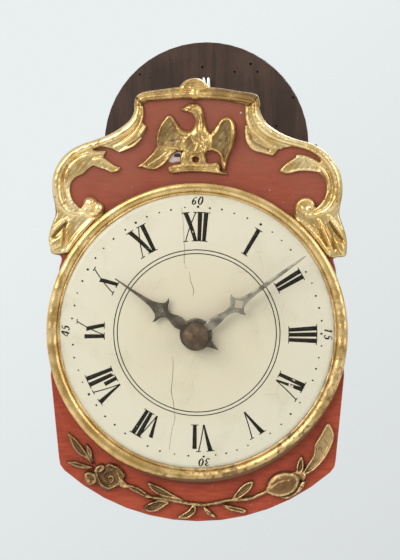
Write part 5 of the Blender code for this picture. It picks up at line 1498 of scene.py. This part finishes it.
@dataclass(frozen=True)
class DialFace:
    """Domed face of the dial, in millimetres, with its edge a little high of the hands' axis."""

    hole: float
    radius: float
    back: float
    edge: float
    rise: float
    ink: float = 0.07
    high: float = 0.9

    def lift(self, radius: float) -> float:
        """Give how far a circle of the face lies above the axis."""
        return self.high * (radius / self.radius) ** 2

    def depth(self, x: float, z: float) -> float:
        """Give the face's depth at a place."""
        level = z - self.lift(math.hypot(x, z))
        return self.edge + self.rise * (1 - (x * x + level * level) / self.radius**2)

    def at(self, angle: float, radius: float) -> tuple[float, float]:
        """Give the place at an angle clockwise, in degrees, on a circle of the face."""
        turn = math.radians(angle)
        return radius * math.sin(turn), radius * math.cos(turn) + self.lift(radius)


@dataclass
class Dial(SubAssembly):
    """Painted dial with its writing, and the gilded moulding round it."""

    hour_foot: float = 50.8
    hour_top: float = 66.1
    rings: tuple[float, float] = (43.7, 45.7)
    dots: float = 68.8
    dot_sizes: tuple[float, float] = (0.66, 0.5)
    worn_dots: tuple[int, ...] = (20, 25, 35, 45)
    digit_foot: float = 70.2
    digit_tall: float = 4.3
    line_half: float = 0.25
    serif_half: float = 0.22
    thin_serif: float = 1.2
    thick_serif: float = 1.95
    foot_spread: float = 0.3
    board_segments: int = 144
    moulding_segments: int = 300
    facets: int = 56

    def face(self) -> DialFace:
        """Measure the dial's node."""
        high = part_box("dial")[1]
        return DialFace(hole=5.0, radius=high.x / MM, back=-high.y / MM, edge=-high.y / MM + 3.0, rise=5.0)

    def build(self) -> None:
        """Make the dial, its writing and its moulding."""
        face = self.face()
        self.board(face)
        self.hours(face)
        self.lines(face)
        self.minutes(face)
        self.digits(face)
        self.moulding(face)

    def board(self, face: DialFace) -> None:
        """Turn the domed board.

        Args:
            face: Its front.
        """
        steps = 26
        radii = [face.hole + (face.radius - face.hole) * k / steps for k in range(steps + 1)]
        front = [(radius, face.edge + face.rise * (1 - (radius / face.radius) ** 2), 0.5) for radius in radii]
        profile = [(face.hole, face.back, 0.0), *front, (face.radius, face.back, 0.0)]
        solid = Solid().turned(profile, self.board_segments, lift=face.lift)
        self.mount(solid.thing("painted_dial", self.palette.dial_paint), Body.CASE, Slot.DIAL_PAINT, "dial")

    def letter(self, solid: Solid, face: DialFace, letter: Letter, angle: float, reach: float) -> None:
        """Write a letter of an hour with its foot to the middle.

        Args:
            solid: Solid to add it to.
            face: Face that it lies on.
            letter: Letter to write.
            angle: Degrees clockwise of its first thick stroke's top.
            reach: Share of its height that its worn thick stroke still has.
        """
        for thin, (top, foot, top_half, foot_half) in enumerate(letter.value):
            limit = 1.0 if thin else reach
            edges: tuple[list[tuple[float, float]], list[tuple[float, float]]] = ([], [])
            for tall in np.linspace(0.0, limit, 9):
                middle = angle + foot + (top - foot) * tall
                half = foot_half + (top_half - foot_half) * tall
                radius = self.hour_foot + (self.hour_top - self.hour_foot) * tall
                for edge, side in zip(edges, (-half, half)):
                    edge.append(face.at(middle + side, radius))
            solid.ribbon(edges[0], edges[1], face)
            wide = self.thin_serif if thin else self.thick_serif
            ends = [(top, self.hour_top, wide)] if limit == 1.0 else []
            if letter is not Letter.V:
                ends.append((foot, self.hour_foot, wide + self.foot_spread))
            for middle, radius, half in ends:
                turns = np.linspace(angle + middle - half, angle + middle + half, 5)
                sides = (-self.serif_half, self.serif_half)
                strip = [[face.at(turn, radius + side) for turn in turns] for side in sides]
                solid.ribbon(strip[0], strip[1], face)

    def hours(self, face: DialFace) -> None:
        """Write the twelve hours as the painter placed and time wore them.

        Args:
            face: Face that they lie on.
        """
        one, five, ten = Letter.I, Letter.V, Letter.X
        words = [
            (one, 31.1, 1), (one, 59, 1), (one, 61.9, 1), (one, 87.7, 1), (one, 90.7, 1), (one, 93.8, 1),
            (one, 116.2, 1), (five, 118.2, 1), (five, 146.6, 1), (five, 173.3, 1), (one, 181, 0.9),
            (five, 203.1, 0.84), (one, 209.3, 1), (one, 212.1, 1), (five, 233.7, 1), (one, 240.4, 0.49),
            (one, 243.5, 1), (one, 246.7, 1), (one, 267.8, 0.72), (ten, 270, 0.65), (ten, 296.8, 0.63),
            (ten, 326.2, 1), (one, 333, 1), (ten, 354.7, 1), (one, 361.7, 1), (one, 364.6, 1),
        ]
        solid = Solid()
        for letter, angle, reach in words:
            self.letter(solid, face, letter, angle, reach)
        self.mount(solid.thing("dial_hours", self.palette.ink), Body.CASE, Slot.DIAL_PAINT)

    def lines(self, face: DialFace) -> None:
        """Draw the double ring, a little off the middle, and the hairline cracks.

        Args:
            face: Face that they lie on.
        """
        right, up, count = 0.2, 0.25, 160
        solid = Solid()
        for radius in self.rings:
            strip = []
            for side in (-self.line_half, self.line_half):
                edge = [face.at(360 / count * k, radius + side) for k in range(count)]
                strip.append([(x + right, z + up) for x, z in edge])
            solid.ribbon(strip[0], strip[1], face, True)
        self.mount(solid.thing("dial_rings", self.palette.line_ink), Body.CASE, Slot.DIAL_PAINT)
        cracks = [
            [(-8.2, 69.4, 0.05), (-7.4, 62, 0.07), (-6.7, 50.2, 0.1), (-6.4, 46.5, 0.12),
             (-6.6, 39.2, 0.12), (-5.6, 35.8, 0.05)],
            [(-3.7, 34.4, 0.05), (-3.2, 29.6, 0.12), (-1.9, 25.9, 0.14), (-1.4, 23.7, 0.16),
             (-2, 20.8, 0.06)],
            [(-13, -12.8, 0.06), (-12.7, -16.1, 0.13), (-13.2, -25.7, 0.13), (-13.8, -31.6, 0.16),
             (-12.8, -36.7, 0.15), (-12.2, -42.6, 0.12), (-11.9, -47, 0.1), (-13.3, -52.4, 0.08),
             (-14.2, -57.4, 0.07), (-15.2, -66.3, 0.05)],
        ]
        solid = Solid()
        for crack in cracks:
            self.stroke(solid, crack, face)
        self.mount(solid.thing("dial_cracks", self.palette.crack), Body.CASE, Slot.DIAL_PAINT)

    def stroke(self, solid: Solid, spine: Spine, face: DialFace, closed: bool = False) -> None:
        """Lay a pen stroke on the dial.

        Args:
            solid: Solid to add it to.
            spine: Place and half width of its points.
            face: Face that it lies on.
            closed: Whether it closes on itself.
        """
        line = smooth_curve(spine, closed, 5)
        if closed:
            ahead = np.roll(line, -1, 0) - np.roll(line, 1, 0)
        else:
            ahead = np.gradient(line, axis=0)
        side = np.c_[-ahead[:, 1], ahead[:, 0]]
        side /= np.linalg.norm(side, axis=1)[:, None]
        solid.ribbon(line[:, :2] + side * line[:, 2:], line[:, :2] - side * line[:, 2:], face, closed)

    def minutes(self, face: DialFace) -> None:
        """Dot the sixty minutes by hand, larger at the fives, some worn away and the lowest ones crowded.

        Args:
            face: Face that they lie on.
        """
        shake, seed = 0.3, 7
        large, small = self.dot_sizes
        solid = Solid()
        angles = (0, 18, 33, 75, 96, 114, 126, 140, 156, 178, 198, 222, 236, 310, 326, 350, 360)
        drift = (0.6, -0.5, 0.8, 0.8, 0, -1.6, -1.6, -0.2, -0.4, -3.2, -0.7, -1, 0, 0, 1.1, 0.4, 0.6)
        chance = np.random.default_rng(seed)
        spread = np.linspace(-math.pi / 2, math.pi / 2, 7)[1:-1]
        for minute in range(60):
            angle = 6 * minute + float(np.interp(6 * minute, angles, drift)) + chance.uniform(-shake, shake)
            x, z = face.at(angle, self.dots + chance.uniform(-shake, shake))
            size = (small if minute % 5 else large) * chance.uniform(0.8, 1.15)
            edges = [
                [(x + way * size * math.cos(a), z + size * math.sin(a)) for a in spread] for way in (-1, 1)
            ]
            if minute not in self.worn_dots:
                solid.ribbon(edges[0], edges[1], face)
        self.mount(solid.thing("dial_minutes", self.palette.line_ink), Body.CASE, Slot.DIAL_PAINT)

    def digits(self, face: DialFace) -> None:
        """Write the quarter numbers in slanting figures, with their feet to the middle.

        Args:
            face: Face that they lie on.
        """
        thin, thick = 0.065, 0.13
        slant, start, pitch, wide, bold = 0.16, -0.84, 0.86, 0.92, 0.75
        figures = {
            "0": ([(0.34, 0, thin), (0.1, 0.3, thick), (0.18, 0.75, thick), (0.44, 1, thin),
                   (0.62, 0.7, thick), (0.56, 0.25, thick)], True),
            "1": ([(0.12, 0.72, thin), (0.36, 0.98, thin), (0.3, 0.5, thick), (0.24, 0, thick)], False),
            "3": ([(0.16, 0.84, thin), (0.4, 1, thin), (0.58, 0.8, thick), (0.3, 0.55, thin),
                   (0.56, 0.34, thick), (0.36, 0.02, thin), (0.08, 0.14, thick)], False),
            "4": ([(0.5, 0, thick), (0.56, 0.98, thick), (0.06, 0.3, thin), (0.72, 0.3, thin)], False),
            "5": ([(0.62, 0.96, thin), (0.28, 0.92, thin), (0.2, 0.55, thin), (0.46, 0.56, thick),
                   (0.52, 0.22, thick), (0.28, 0, thin), (0.06, 0.14, thick)], False),
            "6": ([(0.64, 0.92, thin), (0.34, 0.8, thin), (0.12, 0.36, thick), (0.26, 0.02, thin),
                   (0.54, 0.2, thick), (0.44, 0.5, thin), (0.18, 0.34, thin)], False),
        }
        solid = Solid()
        for number, angle in (("60", 0.3), ("15", 90.7), ("30", 176.6), ("45", 270.2)):
            for place, sign in enumerate(number):
                spine, closed = figures[sign]
                drawn = []
                for u, v, half in spine:
                    radius = self.digit_foot + v * self.digit_tall
                    across = (u + slant * v + start + pitch * place) * self.digit_tall * wide
                    spot = face.at(angle + math.degrees(across / radius), radius)
                    drawn.append((*spot, half * self.digit_tall * bold))
                self.stroke(solid, drawn, face, closed)
        self.mount(solid.thing("dial_quarters", self.palette.line_ink), Body.CASE, Slot.DIAL_PAINT)

    def knife(self, angle: float) -> float:
        """Measure how unevenly the moulding is cut: in facets on its sides, and softly elsewhere.

        Args:
            angle: Place round the moulding, clockwise from the top, in radians.

        Returns:
            How far the cut stands out, in millimetres.
        """
        facet = abs((angle * self.facets / math.tau + 0.3 * math.sin(9 * angle)) % 1.0 - 0.5) - 0.25
        soft = math.sin(11 * angle + 1.0) + math.sin(17 * angle) + 0.6 * math.sin(43 * angle)
        sides = 1.5 * max(math.sin(angle - 0.1), 0.0) ** 4 + 0.9 * max(-math.sin(angle + 0.1), 0.0) ** 6
        return 0.06 * soft + sides * facet

    def moulding(self, face: DialFace) -> None:
        """Turn the gilded moulding: a thin inner lip and the main round.

        Args:
            face: Face of the dial inside it.
        """
        gap, wall = 0.3, 3.1
        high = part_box("dial_bezel")[1]
        outer, back = high.x / MM, -high.y / MM
        inner = face.radius + gap

        def lift(radius: float) -> float:
            """Give how far a circle of the moulding lies above the axis."""
            return face.high * min((outer - radius) / (outer - inner), 1.0)

        profile = [(inner, back, 0.0), (inner, back + wall, 0.0)]
        lip = (inner, 0.65, 3.12, 0.5, 6)
        main_round = (inner + 3.65, 2.9, 3.05, 2.1, 14)
        for middle, half, base, height, count in (lip, main_round):
            for k in range(count + 1):
                angle = math.pi * (1 - k / count)
                crest = 0.3 + 0.7 * math.sin(angle)
                depth = back + base + height * math.sin(angle)
                profile.append((middle + half * math.cos(angle), depth, crest))
        profile.append((outer, back, 0.0))
        solid = Solid().turned(profile, self.moulding_segments, self.knife, lift)
        thing = solid.thing("gilded_moulding", self.palette.worn_and_shaded_gold)
        self.mount(thing, Body.CASE, Slot.GILDING, "dial_bezel")


@dataclass
class Hands(SubAssembly):
    """Pierced steel hands and the turned nut that holds them."""

    hour_turn: float = 304.5
    minute_turn: float = 54.0

    def outline(self, neck: Points, point: Points) -> list[tuple[float, float]]:
        """Draw a hand's blade.

        Args:
            neck: Half width and height from the hub to the barb.
            point: Half width and height from the barb to the tip.

        Returns:
            Closed outline, pointing up.
        """
        side = [*smooth_curve(neck, False, 4), *smooth_curve(point, False, 4)[1:]]
        right = [(float(x), float(z)) for x, z in side]
        return [*right, *((-x, z) for x, z in reversed(right))]

    def build(self) -> None:
        """Make both hands and the nut."""
        hour = self.outline(
            [(2.4, 6), (2.8, 9), (3.4, 11.5), (3.1, 14), (2.1, 16.6), (1.8, 18.6), (2.6, 20.5), (4.4, 21.7),
             (6.2, 22.2), (8.3, 23.6)],
            [(8.3, 23.6), (5.8, 23.7), (4.2, 24.5), (3.2, 26), (2.3, 28.2), (1.6, 31), (0.95, 38),
             (0.65, 45), (0.3, 54)],
        )
        minute = self.outline(
            [(1.8, 4), (2.0, 7), (2.7, 10), (2.9, 12.6), (2.2, 16.4), (1.5, 20.6), (2.1, 24), (3.7, 26),
             (5.2, 26.9), (7.1, 28.9)],
            [(7.1, 28.9), (5.0, 29), (3.7, 29.9), (2.7, 31.6), (1.8, 34.5), (1.25, 45), (0.9, 60),
             (0.35, 74)],
        )
        tail = [(2.6, -8.0), (1.3, -11), (0.3, -14.6), (-0.3, -14.6), (-1.3, -11), (-2.6, -8.0), (0, -6)]
        self.hand(
            "hour_hand", hour, hub=9.0, bore=4.3, window=(23.5, 2.0), extra=[tail], turn=self.hour_turn,
            body=Body.HOUR, material=self.palette.dark_steel,
        )
        self.hand(
            "minute_hand", minute, hub=6.2, bore=2.3, window=(29.0, 2.9), extra=[], turn=self.minute_turn,
            body=Body.MINUTE, material=self.palette.steel,
        )
        self.nut()

    def hand(
        self,
        node: str,
        blade: Points,
        hub: float,
        bore: float,
        window: tuple[float, float],
        extra: list[Points],
        turn: float,
        body: Body,
        material: Material,
    ) -> None:
        """Make one hand in place of its node.

        Args:
            node: Node that it stands for.
            blade: Outline of its blade.
            hub: Radius of its hub.
            bore: Radius of its bore.
            window: Place along the blade and half size of its square window.
            extra: Outlines of further parts, such as a tail.
            turn: Degrees clockwise from twelve.
            body: Body that it rides on.
            material: Its metal.
        """
        low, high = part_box(node)
        back, thick = -high.y / MM, (high.y - low.y) / MM
        middle, half = window
        diamond = [(0.0, middle - half), (half, middle), (0.0, middle + half), (-half, middle)]
        angles = [math.tau * k / 48 for k in range(48)]
        round_hub = [(hub * math.sin(angle), hub * math.cos(angle)) for angle in angles]
        round_bore = [(bore * math.sin(angle), bore * math.cos(angle)) for angle in angles]
        relief = Relief(
            ground=back,
            pads=[Pad(outline, thick, 0.55, True) for outline in (blade, round_hub, *extra)],
            windows=[Pad(diamond, 1, 1, True), Pad(round_bore, 1, 1, True)],
            cell=0.16,
            least=0.1,
            hand_cut=0.0,
            full=thick,
        )
        self.mount(relief.solid().thing(f"steel_{node}", material, turn), body, Slot.STEEL, node)

    def nut(self) -> None:
        """Turn the worn domed nut, with a pit in its face."""
        low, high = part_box("hand_nut")
        back, front, radius = -high.y / MM, -low.y / MM, high.x / MM
        tall, bore, roof = front - back, 2.3, front - 1.5
        profile = [
            (0.0, roof, 0.2), (bore, roof, 0.2), (bore, back, 0.2), (0.84 * radius, back, 0.2),
            (0.92 * radius, back + 0.4, 0.4),
        ]
        steps, segments = 14, 64
        for k in range(steps):
            angle = math.pi / 2 * k / steps
            depth = back + tall * (0.56 + 0.44 * math.sin(angle) ** 0.8)
            profile.append((radius * math.cos(angle), depth, 0.8))
        profile.append((0.0, front, 0.8))
        solid = Solid().turned(profile, segments)
        solid.vertices = [
            (x, z, depth - 0.6 * math.exp(-((x + 0.5) ** 2 + (z + 0.7) ** 2) / 0.8) * (depth > roof + 0.3))
            for x, z, depth in solid.vertices
        ]
        self.mount(solid.thing("turned_nut", self.palette.bronze), Body.MINUTE, Slot.BRONZE, "hand_nut")


@dataclass
class Case(SubAssembly):
    """Wooden case behind the shield: boards, doors, plates, pins and wires."""

    brown: tuple[str, ...] = ("top_board", "bottom_board", "left_door", "right_door")
    pale: tuple[str, ...] = ("front_plate", "back_plate")
    holes: Spine = (
        (-38.4, 139.5, 0.75), (-2.2, 143.8, 0.8), (16.4, 141.1, 0.7), (25.7, 145.6, 0.85),
        (29.6, 141.1, 0.75), (50.2, 126.3, 0.8), (40.5, 110, 0.75), (-21.1, 148, 0.4), (-32.4, 137.6, 0.4),
    )
    hole_depth: float = 5.0
    board_edge: float = 0.7
    plate_edge: float = 0.5
    dowel_edge: float = 0.3
    pin_edge: float = 0.2
    wire_edge: float = 0.15
    swell: float = 0.35

    def build(self) -> None:
        """Dress the boards, doors, plates, wires, dowels and pins."""
        self.back_board()
        for node in self.brown:
            self.dress(node, self.palette.brown_wood, self.board_edge)
        for node in self.pale:
            self.dress(node, self.palette.pale_wood, self.plate_edge)
        self.dress("suspension_wire", self.palette.wire, self.wire_edge)
        self.hanging_loop()
        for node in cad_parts:
            if node.endswith("_dowel"):
                self.dress(node, self.palette.pale_wood, self.dowel_edge)
            if node.endswith("_pin"):
                self.dress(node, self.palette.iron, self.pin_edge)

    def hanging_loop(self) -> None:
        """Dress the wire loop, and make its wire round and full."""
        self.dress("hanging_loop", self.palette.wire)
        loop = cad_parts["hanging_loop"]
        loop.modifiers.new("weld", "WELD").merge_threshold = WELD_GAP
        smooth = loop.modifiers.new("smooth", "SUBSURF")
        smooth.levels = smooth.render_levels = 2
        swell = loop.modifiers.new("swell", "DISPLACE")
        swell.strength = self.swell * MM
        swell.mid_level = 0.0

    def back_board(self) -> None:
        """Bore worm holes into the front of the back board, and soften its edges."""
        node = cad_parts["back_board"]
        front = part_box("back_board")[0].y
        work = bmesh.new()
        work.from_mesh(node.data)
        work.transform(node.matrix_world)
        bmesh.ops.remove_doubles(work, verts=work.verts, dist=WELD_GAP)
        bmesh.ops.dissolve_limit(work, angle_limit=0.01, verts=work.verts, edges=work.edges)
        board = placed(work, "wormy_back_board")
        soften(board, self.board_edge)
        work = bmesh.new()
        for x, z, radius in self.holes:
            lie = Matrix.Translation((x * MM, front, z * MM)) @ Matrix.Rotation(math.radians(90), 4, "X")
            bmesh.ops.create_cone(
                work, cap_ends=True, segments=12, radius1=radius * MM, radius2=0.7 * radius * MM,
                depth=self.hole_depth * MM, matrix=lie,
            )
        drill = placed(work, "drill")
        bore = board.modifiers.new("holes", "BOOLEAN")
        bore.object = drill
        bore.solver = "EXACT"
        mesh = bpy.data.meshes.new_from_object(board.evaluated_get(bpy.context.evaluated_depsgraph_get()))
        board.modifiers.clear()
        board.data = mesh
        bpy.data.objects.remove(drill)
        mesh.materials.clear()
        mesh.materials.append(self.palette.brown_wood)
        self.mount(board, Body.CASE, Slot.BROWN_WOOD, "back_board")


@dataclass
class Movement(SubAssembly):
    """Brass wheels and lantern pinions, iron arbors, the wooden chain wheel and the steel anchor."""

    edge: float = 0.12
    steel: tuple[str, ...] = ("anchor", "crutch", "click", "minute_arbor")

    def build(self) -> None:
        """Dress the movement by the kind of each node."""
        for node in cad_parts:
            if node == "chain_wheel":
                self.dress(node, self.palette.pale_wood, self.edge)
            elif node in self.steel:
                self.dress(node, self.palette.steel, self.edge)
            elif node.endswith(("_wheel", "_bush", "_pinion")):
                self.dress(node, self.palette.brass, self.edge)
            elif node.endswith(("_arbor", "_stud")):
                self.dress(node, self.palette.iron, self.edge)


@dataclass
class Studio:
    """Camera at the photograph's angle, soft light from the upper left, a pale floor and a pale sky."""

    aim: Vector = field(default_factory=lambda: Vector((1.65 * MM, -109 * MM, 29.15 * MM)))
    distance: float = 1.8
    azimuth: float = 3.0
    elevation: float = 5.0
    lens: float = 210.4
    mirrored: float = 0.4
    floor_level: float = -0.45
    floor_radius: float = 1.4

    def build(self) -> None:
        """Set up the camera, the lamps, the floor and the world."""
        self.camera()
        self.lamp("key", (-1.5, -1.9, 1.3), size=1.8, power=50.0)
        self.lamp("fill", (1.7, -1.2, 0.7), size=1.6, power=16.0)
        self.lamp("back", (0.6, 1.7, 0.9), size=1.0, power=14.0)
        self.floor()
        self.world()

    def camera(self) -> None:
        """Place the camera."""
        azimuth, elevation = math.radians(self.azimuth), math.radians(self.elevation)
        level = math.cos(elevation)
        away = Vector((math.sin(azimuth) * level, -math.cos(azimuth) * level, math.sin(elevation)))
        camera = bpy.data.cameras.new("camera")
        camera.lens = self.lens
        thing = bpy.data.objects.new("camera", camera)
        thing.location = self.aim + self.distance * away
        thing.rotation_euler = (-away).to_track_quat("-Z", "Y").to_euler()
        bpy.context.scene.collection.objects.link(thing)
        bpy.context.scene.camera = thing

    def lamp(self, name: str, place: tuple[float, float, float], size: float, power: float) -> None:
        """Hang a soft lamp that points at the clock.

        Args:
            name: Name of the lamp.
            place: Where it hangs, in metres.
            size: Width of its square, in metres.
            power: Power in watts.
        """
        lamp = bpy.data.lights.new(name, "AREA")
        lamp.size = size
        lamp.energy = power
        thing = bpy.data.objects.new(name, lamp)
        thing.location = place
        thing.rotation_euler = (self.aim - Vector(place)).to_track_quat("-Z", "Y").to_euler()
        bpy.context.scene.collection.objects.link(thing)

    def floor(self) -> None:
        """Lay a pale round floor under the clock, below the picture."""
        tree = ShaderTree("floor_paint")
        cloud = tree.noise(tree.place(), 60.0, 3.0)
        tone = tree.mix(cloud, srgb(214, 217, 218), srgb(226, 229, 230))
        material = tree.finish({"Base Color": tone, "Roughness": tree.span(cloud, 0.7, 0.85)})
        work = bmesh.new()
        bmesh.ops.create_circle(work, cap_ends=True, radius=self.floor_radius, segments=96)
        thing = placed(work, "floor")
        thing.data.materials.append(material)
        thing.location.z = self.floor_level

    def world(self) -> None:
        """Light the scene from above and behind, and show a pale sky to the camera and, in part, in metal."""
        world = bpy.data.worlds.new("studio")
        bpy.context.scene.world = world
        world.use_nodes = True
        tree = world.node_tree
        tree.nodes.clear()
        path = tree.nodes.new("ShaderNodeLightPath")
        sky = self.glow(tree, (-0.62, 0.0, 0.78), (-0.2, 0.02), (srgb(209, 213, 214), srgb(234, 239, 240)))
        shade, shine = (0.12, 0.12, 0.12, 1), (0.85, 0.86, 0.87, 1)
        room = self.glow(tree, (-0.2, 0.86, 0.46), (-0.8, 0.15), (shade, shine))
        share = tree.nodes.new("ShaderNodeMath")
        share.operation = "MULTIPLY"
        share.inputs[1].default_value = self.mirrored
        tree.links.new(path.outputs["Is Glossy Ray"], share.inputs[0])
        seen = share.outputs[0]
        for ray in ("Is Transmission Ray", "Is Camera Ray"):
            most = tree.nodes.new("ShaderNodeMath")
            most.operation = "MAXIMUM"
            tree.links.new(path.outputs[ray], most.inputs[0])
            tree.links.new(seen, most.inputs[1])
            seen = most.outputs[0]
        choose = tree.nodes.new("ShaderNodeMixShader")
        tree.links.new(seen, choose.inputs[0])
        tree.links.new(room, choose.inputs[1])
        tree.links.new(sky, choose.inputs[2])
        out = tree.nodes.new("ShaderNodeOutputWorld")
        tree.links.new(choose.outputs["Shader"], out.inputs["Surface"])

    def glow(
        self,
        tree: bpy.types.NodeTree,
        way: tuple[float, float, float],
        ends: tuple[float, float],
        colours: tuple[Colour, Colour],
    ) -> Socket:
        """Give a background that changes along a direction.

        Args:
            tree: Nodes of the world.
            way: Direction in which it changes.
            ends: Places along the direction where it starts and stops to change.
            colours: Colours at these places.

        Returns:
            The background's output.
        """
        dot = tree.nodes.new("ShaderNodeVectorMath")
        dot.operation = "DOT_PRODUCT"
        dot.inputs[1].default_value = way
        tree.links.new(tree.nodes.new("ShaderNodeTexCoord").outputs["Generated"], dot.inputs[0])
        share = tree.nodes.new("ShaderNodeMapRange")
        share.inputs["From Min"].default_value, share.inputs["From Max"].default_value = ends
        tree.links.new(dot.outputs["Value"], share.inputs["Value"])
        blend = tree.nodes.new("ShaderNodeMix")
        blend.data_type = "RGBA"
        blend.inputs[COLOUR_A].default_value, blend.inputs[COLOUR_B].default_value = colours
        tree.links.new(share.outputs["Result"], blend.inputs[0])
        light = tree.nodes.new("ShaderNodeBackground")
        tree.links.new(blend.outputs[COLOUR_RESULT], light.inputs["Color"])
        return light.outputs["Background"]


def main() -> None:
    """Build every sub-assembly and the studio."""
    logging.basicConfig(level=logging.INFO, format="%(message)s")
    bpy.context.scene.view_settings.view_transform = "Standard"
    palette = Palette.mixed()
    for part in (Shield(palette), Dial(palette), Hands(palette), Case(palette), Movement(palette), Studio()):
        LOG.info("building %s", type(part).__name__)
        part.build()


if __name__ == "__main__":
    main()
